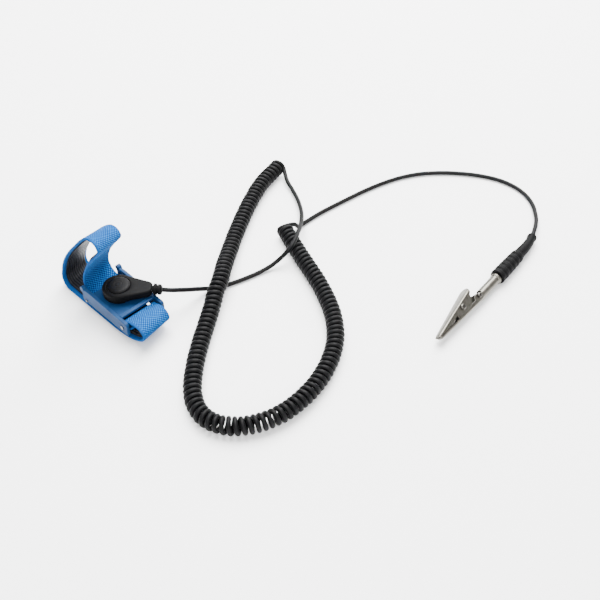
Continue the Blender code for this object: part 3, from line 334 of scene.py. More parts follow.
# %% [markdown]
# The cord comes first because it decides how far the model spreads. It is one length of 2.3 mm cable:
# straight from the connector, wound into a curly stretch, and straight again to the plug. A curve with a
# bevel could show it, but a mesh of rings carried along computed points keeps its UV map and gives full
# control of the helix: the point at angle t is route(t) + r * (cos t * normal + sin t * binormal).

# %% The cord's route
CORD_DIAMETER = 2.3
COIL_DIAMETER = 9.0
COIL_PITCH = 2.94            # the turns almost touch on the inner side of a bend
NECK_REACH = 21.3            # from the stud's axis to where the cord leaves the strain relief
NECK_ANGLE = math.radians(42.0)
LEAD_HEIGHT = 15.2

lead_start = (NECK_REACH * math.cos(NECK_ANGLE), NECK_REACH * math.sin(NECK_ANGLE), LEAD_HEIGHT)
LEAD_A_ROUTE = [
    (18.5, 16.9, 14.9), (20.2, 21.2, 13.2), (20.3, 26.2, 10.0), (19.7, 32.0, 6.0), (19.9, 37.2, 2.8),
    (21.3, 41.2, 1.4), (23.2, 45.1, 1.2), (25.8, 52.3, 1.2), (27.9, 60.0, 1.2), (29.2, 65.9, 1.3),
    (30.5, 71.9, 2.2), (31.8, 76.8, 4.4), (33.0, 80.6, 7.4), (33.3, 84.6, 10.0), (31.4, 89.4, 10.9),
    (27.0, 96.0, 9.3), (20.4, 104.5, 6.0), (14.1, 111.2, 4.2), (7.7, 116.4, 3.0), (0.9, 120.8, 2.2),
    (-6.6, 124.4, 2.1), (-12.6, 126.7, 3.0),
]
COIL_ROUTE = [
    (-24.7, 131.4, 4.5), (-23.1, 124.6, 4.5), (-20.3, 114.3, 4.5), (-12.4, 97.6, 4.5), (2.2, 73.3, 4.6),
    (8.2, 64.6, 5.0), (13.4, 57.4, 5.9), (19.1, 49.9, 7.0), (24.6, 43.0, 7.5), (28.6, 36.5, 7.0),
    (33.0, 30.6, 6.0), (38.8, 22.3, 5.0), (43.1, 16.0, 4.6), (48.1, 9.1, 4.5), (54.0, 1.6, 4.5),
    (58.5, -3.5, 4.5), (63.5, -8.7, 4.5), (69.3, -13.4, 4.5), (75.5, -16.6, 4.5), (82.0, -17.8, 4.5),
    (88.6, -16.4, 4.5), (95.0, -12.2, 4.5), (99.5, -6.6, 4.5), (103.0, 0.6, 4.5), (105.0, 8.6, 4.5),
    (105.4, 16.8, 4.5), (104.6, 25.8, 4.5), (102.6, 34.6, 4.5), (98.6, 44.8, 4.5), (92.6, 54.8, 4.5),
    (85.4, 62.6, 4.5), (76.4, 69.6, 4.5), (66.9, 75.0, 4.5), (58.5, 79.0, 4.5), (50.0, 82.4, 4.5),
    (41.5, 85.6, 4.5), (31.5, 89.5, 4.5), (22.6, 93.2, 4.5), (13.6, 97.0, 4.5),
]
LEAD_B_ROUTE = [
    (18.9, 100.1, 2.6), (18.1, 104.8, 1.6), (17.9, 110.0, 1.2), (18.2, 121.0, 1.2), (19.4, 132.0, 1.2),
    (20.8, 142.6, 1.2), (22.4, 153.2, 1.2), (24.8, 164.2, 1.2), (28.7, 176.0, 1.2), (34.4, 186.6, 1.2),
    (41.9, 195.6, 1.2), (50.4, 203.2, 1.2), (59.8, 209.6, 1.2), (70.0, 214.0, 1.2), (80.0, 215.2, 1.2),
    (88.4, 213.6, 1.2), (96.2, 209.3, 1.3), (102.4, 203.2, 1.9), (106.0, 198.6, 2.6), (108.6, 194.3, 3.2),
    (112.8, 185.5, 3.7),
]

# %% Winding the curly part


def wound(route, radius, pitch, first_angle):
    """A helix about a flat-lying route: route + radius * (cos t * up + sin t * side), t growing one
    turn a pitch."""
    fine = smooth_path(route, 0.5)
    tangent = unit(np.gradient(fine, axis=0))
    up = np.array([0.0, 0.0, 1.0])
    side = unit(np.cross(tangent, up))
    above = np.cross(side, tangent)
    length = path_length(fine)
    turns = round(length / pitch)
    share = np.linspace(0.0, 1.0, turns * 16 + 1)
    place = np.linspace(0.0, 1.0, len(fine))
    centre, above, side = (np.column_stack([np.interp(share, place, c) for c in part.T])
                           for part in (fine, above, side))
    angle = first_angle + share[:, None] * turns * 2 * math.pi
    wobble = 1.0 + 0.012 * np.sin(7.0 * angle / math.pi) + 0.01 * np.sin(0.37 * angle)
    ring = np.cos(angle) * above + np.sin(angle) * side
    points = centre + radius * wobble * ring
    points[:, 2] = np.maximum(points[:, 2], CORD_DIAMETER / 2 + 0.02)
    return points, turns, ring


coil_end = COIL_ROUTE[:-1] + [(17.0, 95.6, 4.5)]
helix, turns, helix_ring = wound(coil_end, (COIL_DIAMETER - CORD_DIAMETER) / 2, COIL_PITCH,
                                 math.radians(-70.0))
print("turns", turns, "helix length", round(path_length(helix)), "mm")

# %% [markdown]
# The three stretches are joined into one line. Each lead is smoothed through the first points of the
# helix and then cut at its end. The joins are the weak spots of this cord: the path still turns by about
# 44 degrees at the first and 63 degrees at the second, where a real cord would bend over several
# millimetres.

# %% One cord


def joined_cord():
    """Lead, helix and lead as one path, and a vector beside each point that the section is turned from."""
    into = smooth_path([lead_start] + LEAD_A_ROUTE + [(-17.3, 129.6, 3.6), helix[0], helix[2]], 0.7)
    into = into[:np.argmin(np.linalg.norm(into - helix[0], axis=1)) - 1]
    out = smooth_path([helix[-3], helix[-1], (17.6, 102.0, 4.6)] + LEAD_B_ROUTE[1:], 0.7)
    out = out[np.argmin(np.linalg.norm(out - helix[-1], axis=1)) + 2:]
    path = np.vstack([into, helix, out])
    up = np.array([0.0, 0.0, 1.0])
    reference = np.vstack([np.tile(up, (len(into), 1)), helix_ring, np.tile(up, (len(out), 1))])
    for start, stop, before, after in ((len(into) - 8, len(into), up, helix_ring[0]),
                                       (len(path) - len(out), len(path) - len(out) + 8, helix_ring[-1], up)):
        share = np.linspace(0.0, 1.0, stop - start)[:, None]
        reference[start:stop] = (1 - share) * before + share * after
    return path, reference


cord_path, cord_reference = joined_cord()
cord = carried("cord", cord_path, CORD_DIAMETER / 2, cord_reference, sides=12)

# %% [markdown]
# The jacket is soft vinyl, black and half glossy. Handling leaves it cloudy: some stretches shine and
# others are dull. The pattern uses the UV map, drawn out along the cord, so that it follows the turns.

# %% Cable finish
cable = Finish("black_cable", (0.002, 0.002, 0.0022), 0.5, specular=0.1)
cable_cloud = cable.noise(30.0, 4.0, where="UV", stretch=(20.0, 1.0, 1.0))
cable.connect(Base_Color=cable.ramp(cable_cloud, [(0.3, (0.001, 0.001, 0.0012)),
                                                  (0.8, (0.0035, 0.0035, 0.004))]),
              Roughness=cable.spread(cable_cloud, 0.42, 0.62),
              Normal=cable.bump(cable.noise(2600.0, 2.0), 0.18, 0.00005))
cord.data.materials.append(cable.material)

# %% [markdown]
# The band is a flat tube of woven elastic. Its section is a strip 1.1 mm thick with round edges, carried
# along two edge lines, because the strap twists a little where it arches. The weave is real relief: rows
# of small stitches standing a tenth of a millimetre proud, offset by half a step from row to row.

# %% The band's edges
BAND_WIDTH = 18.4
BAND_FABRIC = 1.1
BAR_X, BAR_Z = 16.0, 7.9
BAND_WRAP = 2.4
TRAY_BOTTOM = 9.4
BAND_SIDE_TABLE = -1.2
BAND_ROUTE = [
    (-3.6, 9.1, -3.6, 9.1), (-9.0, 9.0, -9.6, 9.0), (-13.2, 9.9, -16.2, 9.8), (-15.2, 14.0, -19.6, 13.4),
    (-14.6, 18.5, -19.4, 17.9), (-12.4, 23.3, -16.8, 23.9), (-7.2, 32.2, -11.8, 31.0),
    (-0.2, 40.4, -6.9, 37.0),
    (3.4, 46.2, -4.6, 41.0), (1.8, 49.8, -6.6, 43.6), (-3.6, 50.3, -11.2, 43.4), (-9.4, 46.8, -16.7, 39.8),
    (-18.0, 37.4, -24.9, 32.0), (-27.0, 26.5, -32.1, 23.3), (-32.8, 17.5, -37.4, 15.6),
    (-36.2, 9.0, -41.2, 8.8),
    (-36.2, 3.6, -41.8, 3.6), (-32.6, 0.4, -38.2, 0.4), (-26.0, 0.0, -30.0, 0.0), (-14.0, 0.0, -16.0, 0.0),
    (0.0, 0.0, 0.0, 0.0), (10.0, 0.0, 10.0, 0.0), (17.6, 0.9, 16.8, 0.8), (24.4, 3.3, 22.0, 2.8),
    (29.2, 6.6, 25.8, 5.8), (30.6, 9.8, 27.0, 8.8), (28.4, 12.6, 24.9, 11.4), (23.6, 12.9, 21.4, 12.0),
    (19.4, 11.7, 18.8, 11.3),
]


def bar_wrap():
    """The sewn end: an arc round the bar, then a short tail back under the run it came from."""
    turn = np.radians(np.arange(80.0, 271.0, 15.0))
    arc = np.column_stack([BAR_X + BAND_WRAP * np.cos(turn), BAR_Z + BAND_WRAP * np.sin(turn)])
    tail = [(BAR_X + 2.2, BAR_Z - BAND_WRAP + 0.5), (BAR_X + 4.4, BAR_Z - BAND_WRAP + 2.3)]
    line = np.vstack([arc, tail])
    return np.column_stack([line, line])


def band_edges(spacing):
    """Near and far edge of the outer surface; the strap shifts sideways as it rises from the table."""
    run = smooth_path(BAND_ROUTE, 2.6)
    route = smooth_path(np.vstack([run, bar_wrap()]), spacing)
    height = np.clip((route[:, 1] + route[:, 3]) / 2 / TRAY_BOTTOM, 0.0, 1.0)
    place = np.linspace(0.0, 1.0, len(route))
    height = np.where(place > 0.75, np.interp(place, [0.75, 0.93, 1.0], [0.0, 1.0, 1.0]), height)
    middle = BAND_SIDE_TABLE * (1.0 - height)
    near = np.column_stack([route[:, 0], middle - BAND_WIDTH / 2, np.maximum(route[:, 1], 0.0)])
    far = np.column_stack([route[:, 2], middle + BAND_WIDTH / 2, np.maximum(route[:, 3], 0.0)])
    return near, far


def band_surface(near, far, across, depth):
    """Points at a share across the strap (0 near edge, 1 far edge) and a depth under the outer surface."""
    span = far - near
    slope_near, slope_far = np.gradient(near, axis=0), np.gradient(far, axis=0)
    share = np.asarray(across)[None, :, None]
    point = near[:, None] + share * span[:, None]
    slope = slope_near[:, None] * (1 - share) + slope_far[:, None] * share
    normal = unit(np.cross(slope, np.broadcast_to(span[:, None], slope.shape)))
    return point + np.asarray(depth)[..., None] * normal, normal


# %% The woven band
STITCH = 0.74                # distance between rows of stitches
PLAIN_EDGE = 1.1             # plain border at each edge, mm
RELIEF = 0.11

near_edge, far_edge = band_edges(0.27)
OUTER_POINTS, INNER_POINTS = 70, 24
ROUND_SHARE = 0.019          # share of the width that each round edge takes up

outer_places = np.linspace(0.0, 1.0, OUTER_POINTS)
edge_turn = np.linspace(0.0, math.pi, 7)[1:-1]
edge_round = 0.5 * (1 - np.cos(edge_turn)) * BAND_FABRIC
edge_out = 0.35 * np.sin(edge_turn) / BAND_WIDTH
inner_places = np.linspace(1.0, 0.0, INNER_POINTS)
flat = 1.0 - 2 * ROUND_SHARE
section = np.concatenate([outer_places * flat + ROUND_SHARE, 1.0 - ROUND_SHARE + edge_out,
                          inner_places * flat + ROUND_SHARE, ROUND_SHARE - edge_out])
depth = np.concatenate([np.zeros(OUTER_POINTS), edge_round, np.full(INNER_POINTS, BAND_FABRIC),
                        BAND_FABRIC - edge_round])
along_mm = np.concatenate([[0.0], np.cumsum(np.linalg.norm(np.diff((near_edge + far_edge) / 2, axis=0),
                                                           axis=1))])
across_mm = section * BAND_WIDTH
u = along_mm[:, None] / STITCH * math.pi
v = across_mm[None, :] / STITCH * math.pi
inside_edge = smoothstep(np.minimum(across_mm, BAND_WIDTH - across_mm), PLAIN_EDGE - 0.2, PLAIN_EDGE + 0.3)
stitch = 0.5 + 0.5 * np.cos(u) * np.cos(v)
stitched = np.where(np.arange(len(section)) < OUTER_POINTS, inside_edge, 0.0)
full_depth = depth[None, :] + RELIEF * (1.0 - stitch) * stitched[None, :]
band_points, band_normal = band_surface(near_edge, far_edge, section, full_depth)
band_points[..., 2] = np.maximum(band_points[..., 2], 0.02)
stitch_share = np.where(stitched[None, :] > 0, stitch, 0.45) * np.ones_like(full_depth)
edge_share = 1.0 - np.broadcast_to(stitched[None, :], full_depth.shape)
band = grid_mesh("band_fabric_woven", band_points, wrap=True, stitch=stitch_share, plain=edge_share)
print("band", round(along_mm[-1], 1), "mm long,", len(band.data.polygons), "faces")

# %% [markdown]
# The same lattice paints light and shade into the yarn's colour: a painted highlight where a stitch stands up
# and painted shade, deep blue, in the gaps. Two attributes hold the lattice and the plain edge for every
# point, so the painted light and shade agree exactly with the relief.

# %% Weave finish
elastic = Finish("blue_elastic", (0.004, 0.06, 0.2), 0.95, specular=0.04)
elastic.shader.inputs["Sheen Weight"].default_value = 0.02
elastic.shader.inputs["Sheen Roughness"].default_value = 0.5
elastic.shader.inputs["Sheen Tint"].default_value = (0.5, 0.75, 1.0, 1.0)


def elastic_colour_with_painted_shade():
    """Painted shade in the gaps to painted light on the stitch tops, by the stitch attribute, spread by fine
    noise; the plain edge is an even mid blue."""
    stitch_node = elastic.node("ShaderNodeAttribute", attribute_name="stitch")
    plain_node = elastic.node("ShaderNodeAttribute", attribute_name="plain")
    fibre = elastic.noise(3800.0, 4.0)
    patch = elastic.noise(180.0, 3.0)
    share = elastic.math("ADD", stitch_node.outputs["Fac"], elastic.spread(fibre, -0.22, 0.22))
    share = elastic.math("ADD", share, elastic.spread(patch, -0.1, 0.1))
    # Painted light and shade: the dark stops are painted shade in the stitch gaps, and the light stops are a
    # painted highlight on the stitch tops.
    woven = elastic.ramp(share, [(0.1, (0.0015, 0.014, 0.06)), (0.45, (0.003, 0.04, 0.16)),
                                 (0.75, (0.006, 0.085, 0.29)), (0.98, (0.035, 0.22, 0.52))])
    edge = elastic.ramp(fibre, [(0.3, (0.002, 0.032, 0.13)), (0.7, (0.005, 0.066, 0.23))])
    mix = elastic.node("ShaderNodeMix", data_type="RGBA")
    elastic.join(plain_node.outputs["Fac"], mix.inputs["Factor"])
    elastic.join(woven, mix.inputs["A"])
    elastic.join(edge, mix.inputs["B"])
    height = elastic.bump(stitch_node.outputs["Fac"], 0.5, 0.00012, after=elastic.bump(fibre, 0.5, 0.00006))
    return mix.outputs["Result"], height


elastic_base, elastic_normal = elastic_colour_with_painted_shade()
elastic.connect(Base_Color=elastic_base, Normal=elastic_normal)
band.data.materials.append(elastic.material)

# %% [markdown]
# Inside the band is the conductive lining, a black knit with raised ribs of shiny yarn that run along it.
# It is a strip of its own, 0.4 mm thick, 2 mm narrower than the band at each edge. The ribs are a row of
# half waves.

# %% The ribbed lining
LINING_MARGIN = 2.0
LINING_TOP = BAND_FABRIC + 0.3
LINING_THICKNESS = 0.4
LINING_RIBS = 10

lining_near, lining_far = (edge[:round(len(near_edge) * 0.905)][::3] for edge in (near_edge, far_edge))
rib_place = np.linspace(0.0, 1.0, LINING_RIBS * 8 + 1)
rib_wave = np.abs(np.sin(rib_place * math.pi * LINING_RIBS)) ** 0.7
margin = LINING_MARGIN / BAND_WIDTH
lining_across = margin + (1 - 2 * margin) * np.concatenate([rib_place, rib_place[::-4]])
lining_depth = LINING_TOP + np.concatenate([0.18 + (LINING_THICKNESS - 0.18) * rib_wave,
                                            np.zeros(len(rib_place[::-4]))])
knit = 1.0 + 0.0 * lining_near[:, :1]
lining_points, _ = band_surface(lining_near, lining_far, lining_across, lining_depth[None, :] * knit)
rib_share = np.concatenate([rib_wave, np.zeros(len(rib_place[::-4]))])[None, :] * knit
lining = grid_mesh("band_lining_ribbed", lining_points, wrap=True, rib=rib_share)
print("lining", len(lining.data.polygons), "faces")

# %% Lining finish
ribbed = Finish("conductive_lining", (0.008, 0.008, 0.01), 0.5, specular=0.15)
rib_node = ribbed.node("ShaderNodeAttribute", attribute_name="rib")
yarn = ribbed.noise(4200.0, 3.0)
rib_glow = ribbed.math("MULTIPLY", rib_node.outputs["Fac"], ribbed.spread(yarn, 0.5, 1.2))
ribbed.connect(Base_Color=ribbed.ramp(rib_glow, [(0.2, (0.0006, 0.0008, 0.0015)),
                                                 (0.9, (0.01, 0.011, 0.016))]),
               Roughness=ribbed.spread(rib_glow, 0.75, 0.33),
               Normal=ribbed.bump(yarn, 0.6, 0.00006))
lining.data.materials.append(ribbed.material)

# %% [markdown]
# The snap connector's housing is moulded vinyl: a round head that runs into a tapering neck. Seen from
# above its outline is a circle joined to two straight sides and a flat end. In polar form that is the
# nearest of those boundaries in each direction, and a high-power mean of them rounds the corners. Rings
# of that outline at different heights make the body, and smaller rings make the pocket under it that the
# stud snaps into.

# %% The housing
HEAD_RADIUS = 8.0
HEAD_BOTTOM, HEAD_TOP = 11.8, 17.3
NECK_LENGTH, NECK_WIDTH = 16.4, 6.2
NECK_BOTTOM, NECK_TOP = 13.2, 17.2
CHEEK_CLEAR = 13.0
EDGE = 0.95                  # radius of the moulded edges

taper = math.asin((HEAD_RADIUS - NECK_WIDTH / 2) / NECK_LENGTH)
turn = np.linspace(-math.pi, math.pi, 240, endpoint=False)
turn = turn - 0.55 * np.sin(turn)


def housing_reach(turn):
    """Distance from the stud's axis to the outline: the circle, or a 14th-power mean of taper and end."""
    side = HEAD_RADIUS / np.cos(np.clip(np.abs(turn) - (math.pi / 2 - taper), -1.5, 1.5))
    side = np.where(np.abs(turn) < math.pi / 2 - taper, side, HEAD_RADIUS)
    end = NECK_LENGTH / np.maximum(np.cos(turn), 1e-3)
    return (side ** -14.0 + end ** -14.0) ** (-1 / 14.0)


def housing():
    """Rings at reach(turn) less an inset, each with its height; top and bottom fall from head to neck."""
    reach = housing_reach(turn)
    neck = smoothstep(reach * np.cos(turn), HEAD_RADIUS * 0.75, NECK_LENGTH)
    beyond = smoothstep(reach, HEAD_RADIUS + 0.05, HEAD_RADIUS + 0.5)
    low_edge = HEAD_BOTTOM + (CHEEK_CLEAR - HEAD_BOTTOM) * beyond + (NECK_BOTTOM - CHEEK_CLEAR) * neck
    rings = []

    def ring(radius, height):
        rings.append(np.column_stack([radius * np.cos(turn), radius * np.sin(turn), height + 0 * turn]))

    def top(radius):
        along = smoothstep(radius * np.cos(turn), HEAD_RADIUS * 0.6, NECK_LENGTH * 1.02)
        return HEAD_TOP + (NECK_TOP - HEAD_TOP) * along - 0.22 * (radius / HEAD_RADIUS) ** 2 * (1 - along)

    for radius, height in ((0.0, HEAD_TOP - 0.8), (5.6, HEAD_TOP - 0.8), (5.9, HEAD_TOP - 0.75),
                           (5.95, HEAD_TOP - 0.2),
                           (6.1, HEAD_TOP - 0.12)):
        ring(radius + 0 * turn, height)
    for share in (0.25, 0.5, 0.75):
        radius = 6.1 + (reach - EDGE - 6.1) * share
        ring(radius, top(radius))
    for angle in np.linspace(0, math.pi / 2, 6):
        ring(reach - EDGE * (1 - math.sin(angle)), top(reach) - EDGE * (1 - math.cos(angle)))
    for angle in np.linspace(0, math.pi / 2, 6):
        ring(reach - EDGE * (1 - math.cos(angle)), low_edge + EDGE * (1 - math.sin(angle)))
    inner = np.minimum(reach - EDGE, HEAD_RADIUS - 0.1)
    ring(inner + 0.05, low_edge)
    ring(inner - 0.1, np.minimum(low_edge, HEAD_BOTTOM + 0.3))
    ring(inner - 0.45, HEAD_BOTTOM)
    for radius, height in ((4.75, 11.8), (4.6, 11.9), (4.6, 12.6), (3.8, 12.65), (3.8, 15.55), (0.0, 15.6)):
        ring(radius + 0 * turn, height)
    points = np.array(rings)
    cos, sin = math.cos(NECK_ANGLE), math.sin(NECK_ANGLE)
    turned = points.copy()
    turned[..., 0] = cos * points[..., 0] - sin * points[..., 1]
    turned[..., 1] = sin * points[..., 0] + cos * points[..., 1]
    return turned


shell = grid_mesh("connector_housing_moulded", housing(), wrap=True, caps=False)
print("housing", len(shell.data.polygons), "faces")

# %% [markdown]
# The cap on the head and the strain relief behind the neck are turned shapes. The cap carries a shallow
# groove round its middle, left by the tool. The relief is two soft discs on a core, so that the cord can
# bend there.

# %% Cap and strain relief
neck_axis = np.array([math.cos(NECK_ANGLE), math.sin(NECK_ANGLE), 0.0])
cap_profile = filleted([(0, 18.1), (1.55, 18.1), (1.7, 18.02), (1.95, 18.02), (2.1, 18.09), (3.9, 18.0),
                        (5.0, 17.78),
                        (5.66, 17.3), (5.7, 16.9), (5.7, 16.6), (0, 16.6)], 0.5, 6)
cap = spun("connector_cap_moulded", cap_profile, (0, 0, 0), (0, 0, 1), 96)
relief_profile = filleted([(0, 0.02), (2.1, 0.02), (2.1, 0.4), (2.9, 0.4), (2.9, 1.75), (2.15, 1.75),
                           (2.15, 2.4), (2.6, 2.4),
                           (2.6, 3.75), (2.0, 4.28), (0, 4.28)], 0.34, 6)
relief = spun("strain_relief_moulded", relief_profile, neck_axis * 16.7 + np.array([0, 0, LEAD_HEIGHT]),
              neck_axis, 64)
matte_black = moulded("black_plastic", (0.0018, 0.0018, 0.002), 0.62, 0.07)
gloss_black = moulded("black_gloss", (0.0015, 0.0015, 0.0018), 0.5, 0.09, grain=0.12)
shell.data.materials.append(matte_black)
relief.data.materials.append(matte_black)
cap.data.materials.append(gloss_black)

# %% [markdown]
# The banana plug: a handle with six soft ribs turned about the plug's axis, and a boot behind it that
# bends with the cord. The boot narrows towards the cord and ends in a small bead.

# %% Plug handle and boot
PLUG_PLACE = np.array([119.15, 145.75, 4.05])
PLUG_HEADING = math.radians(-83.3)
plug_axis = np.array([math.cos(PLUG_HEADING), math.sin(PLUG_HEADING), 0.0])
HANDLE_LENGTH, HANDLE_RIBS = 22.2, 6


def handle_profile():
    """Radius along the handle: a slow taper, with ribs as a smoothed square wave, rounded at both ends."""
    along = np.linspace(0.0, 1.0, 150)
    body = 3.98 - 0.55 * along ** 2
    wave = 0.5 + 0.5 * np.tanh(3.2 * np.cos((along * HANDLE_RIBS - 0.3) * 2 * math.pi) + 0.9)
    ends = np.minimum(1.0, np.minimum((along + 0.012) / 0.035, (1.012 - along) / 0.03))
    radius = (body - 0.42 * (1 - wave)) * np.sqrt(np.clip(1 - (1 - ends) ** 2 * 0.35, 0, 1))
    distance = -0.4 - HANDLE_LENGTH * along
    body = np.column_stack([radius, distance])
    bore = [(2.3, -12.4), (2.3, -0.45)]
    return np.vstack([[(0, -12.4)], bore, body, [(0, -0.4 - HANDLE_LENGTH)]])


handle = spun("plug_handle_ribbed", handle_profile(), PLUG_PLACE, plug_axis, 64)
boot_start = PLUG_PLACE + plug_axis * (-22.9)
boot_path = smooth_path([boot_start, (115.75, 174.65, 4.05), (114.6, 180.1, 3.95), (112.9, 185.2, 3.75)], 0.2)
boot_share = np.linspace(0.0, 1.0, len(boot_path))
boot_radius = (2.84 - 0.5 * smoothstep(boot_share, 0.0, 0.8)
               + 0.22 * np.exp(-((boot_share - 0.91) / 0.06) ** 2)
               - 0.5 * smoothstep(boot_share, 0.95, 1.0))
boot = carried("plug_boot_soft", boot_path, boot_radius, np.tile([0.0, 0.0, 1.0], (len(boot_path), 1)),
               sides=40)
handle.data.materials.append(matte_black)
boot.data.materials.append(matte_black)

# %% [markdown]
# The alligator clip is folded from sheet metal. Each jaw is one open surface: stations along the clip,
# and at each station a bent line across it, from one wall's edge over the back to the other wall's edge.
# Solidify then gives the sheet its thickness. The clip lies along the plug's axis, turned 50 degrees
# about it.

# %% The clip's own directions
CLIP_ROLL = math.radians(50.0)
CLIP_LENGTH = 53.6
SHEET = 0.6
left = np.array([-plug_axis[1], plug_axis[0], 0.0])
up = np.array([0.0, 0.0, 1.0])
clip_y = math.cos(CLIP_ROLL) * left + math.sin(CLIP_ROLL) * up
clip_z = -math.sin(CLIP_ROLL) * left + math.cos(CLIP_ROLL) * up


def in_clip(points):
    """Points given along, across and up the clip, placed in the frame: place + x * axis + y * side + z
    * top."""
    return PLUG_PLACE + points[..., :1] * plug_axis + points[..., 1:2] * clip_y + points[..., 2:] * clip_z


def zigzag(x, start, stop, middle, half_height, pitch=1.72):
    """A toothed edge: a triangle wave of the given pitch round its middle height, between start and
    stop."""
    phase = ((x - start) / pitch) % 1.0
    wave = half_height * (1 - 4 * np.abs(phase - 0.5))
    return np.where((x > start) & (x < stop), middle + wave, middle)


def sheet_metal(name, points, thickness, material):
    """A folded sheet: the open surface with Solidify towards its inside and a fine bevel on its cut
    edges."""
    piece = grid_mesh(name, in_clip(points))
    wall = piece.modifiers.new("sheet", "SOLIDIFY")
    wall.thickness = thickness * MM
    wall.offset = -1.0
    edge = piece.modifiers.new("edges", "BEVEL")
    edge.width = 0.09 * MM
    edge.segments = 2
    edge.limit_method = "ANGLE"
    edge.angle_limit = math.radians(50.0)
    piece.data.materials.append(material)
    return piece


# %% The upper jaw and lever
LEVER_BACK = 21.5
UPPER_EDGE = [(21.5, 7.0), (22.3, 6.4), (23.4, 5.9), (24.2, 5.6), (25.0, 3.4), (26.2, 1.3), (28.0, 0.5),
              (30.0, 0.2),
              (34.0, 0.4), (36.5, 1.1), (38.0, 2.1), (39.6, 2.0), (41.2, 1.4), (42.6, 0.9), (53.8, 0.9)]


def upper_jaw():
    """Half width tapers to the tip; the back falls straight; walls hang down to the edge line; corners
    are round."""
    x = np.unique(np.concatenate([np.linspace(LEVER_BACK, 24.5, 26), np.linspace(24.5, 42.6, 90),
                                  np.linspace(42.6, CLIP_LENGTH + 0.15, 104)]))
    share = (x - LEVER_BACK) / (CLIP_LENGTH - LEVER_BACK)
    half = 3.55 + (1.9 - 3.55) * share
    half = half * np.sqrt(np.clip(1 - ((24.3 - np.minimum(x, 24.3)) / 3.05) ** 2, 0.02, 1))
    half = half - 0.25 * smoothstep(x, 52.8, 53.7)
    top = 7.9 + (1.7 - 7.9) * (x - LEVER_BACK) / (CLIP_LENGTH + 0.2 - LEVER_BACK)
    edge = np.interp(x, *np.array(UPPER_EDGE).T)
    edge = np.where(x > 42.6, zigzag(x, 42.6, 53.5, 0.9, 0.35), edge)
    edge = np.minimum(edge, top - 0.75)
    corner = np.minimum(0.85, half * 0.6)
    turn = np.linspace(0, math.pi / 2, 7)
    rows = []
    for side in (-1, 1):
        wall = np.linspace(0, 1, 7) if side < 0 else np.linspace(1, 0, 7)
        bend = turn if side < 0 else turn[::-1]
        wall_y = side * half[:, None] * np.ones(7)
        wall_z = edge[:, None] + ((top - corner) - edge)[:, None] * wall
        bend_y = side * (half - corner)[:, None] + side * corner[:, None] * np.cos(bend)
        bend_z = (top - corner)[:, None] + corner[:, None] * np.sin(bend)
        parts = [(wall_y, wall_z), (bend_y, bend_z)]
        rows += parts if side < 0 else parts[::-1]
    crown = np.linspace(-1, 1, 9)[1:-1]
    crown_rise = 0.12 * (1 - crown ** 2) * smoothstep(x, 23, 26)[:, None]
    middle = ((half - corner)[:, None] * crown, top[:, None] + crown_rise)
    rows.insert(2, middle)
    y = np.hstack([r[0] for r in rows])
    z = np.hstack([r[1] for r in rows])
    return np.stack([np.broadcast_to(x[:, None], y.shape), y, z], axis=-1)


# %% The lower jaw
LOWER_EDGE = [(15.6, 2.4), (21.0, 2.4), (21.6, 2.0), (22.0, 0.8), (22.8, 0.6), (26.2, 0.6), (26.9, 1.2),
              (27.5, 2.4),
              (29.4, 4.0), (31.0, 4.65), (32.5, 4.8), (34.0, 4.6), (35.5, 3.9), (36.4, 2.6), (37.2, 0.2),
              (39.5, -0.5),
              (41.4, 0.1), (42.6, 0.45), (53.6, 0.45)]
LOWER_FLOOR = [(15.6, -2.3), (20.0, -1.9), (26.0, -1.65), (52.5, -0.9), (53.6, -0.35)]


def lower_jaw():
    """A trough: floor, round corners and two walls up to the edge line; it opens out of the round
    barrel."""
    x = np.unique(np.concatenate([np.linspace(15.0, 22.5, 44), np.linspace(22.5, 42.6, 100),
                                  np.linspace(42.6, CLIP_LENGTH, 104)]))
    half = 2.3 + (1.66 - 2.3) * (x - 15.5) / (CLIP_LENGTH - 15.5)
    half = half - 0.2 * smoothstep(x, 52.8, 53.6)
    low = np.interp(x, *np.array(LOWER_FLOOR).T)
    edge = np.interp(x, *np.array(LOWER_EDGE).T)
    edge = np.where(x > 42.6, zigzag(x, 42.6, 53.3, 0.45, 0.35), edge)
    corner = np.minimum(0.9, half * 0.6)
    turn = np.linspace(0, math.pi / 2, 7)
    wall = np.linspace(1, 0, 9)
    left_y = [-half[:, None] * np.ones(9), -(half - corner)[:, None] - corner[:, None] * np.cos(turn)]
    left_z = [(low + corner)[:, None] + (edge - low - corner)[:, None] * wall,
              (low + corner)[:, None] - corner[:, None] * np.sin(turn)]
    floor = np.linspace(-1, 1, 7)[1:-1]
    y = np.hstack([*left_y, (half - corner)[:, None] * floor, *(-part[:, ::-1] for part in left_y[::-1])])
    z = np.hstack([*left_z, low[:, None] * np.ones(5), *(part[:, ::-1] for part in left_z[::-1])])
    open_angle = np.radians(np.linspace(145, 395, y.shape[1]))
    round_y, round_z = 2.5 * np.cos(open_angle), 2.5 * np.sin(open_angle)
    blend = smoothstep(x, 15.2, 20.5)[:, None]
    y = y * blend + round_y * (1 - blend)
    z = z * blend + round_z * (1 - blend)
    return np.stack([np.broadcast_to(x[:, None], y.shape), y, z], axis=-1)


# %% The clip's finish and pieces
nickel = plated("nickel", (0.15, 0.142, 0.122), 0.33, stretch=(1, 1, 6), scratch=0.3, dark=0.72)
upper = sheet_metal("clip_upper_jaw_sheet", upper_jaw(), SHEET, nickel)
lower = sheet_metal("clip_lower_jaw_sheet", lower_jaw(), SHEET, nickel)
barrel_profile = filleted([(2.1, 15.6), (2.5, 15.6), (2.5, 2.1), (2.62, 1.75), (2.95, 1.6), (3.0, 1.0),
                           (2.95, 0.35),
                           (2.6, 0.2), (2.25, 0.3), (2.1, 0.8), (2.1, 15.6)], 0.3, 5)
barrel = spun("clip_barrel_rolled", barrel_profile, PLUG_PLACE, plug_axis, 72)
barrel.data.materials.append(nickel)
print("clip faces", len(upper.data.polygons), len(lower.data.polygons), len(barrel.data.polygons))

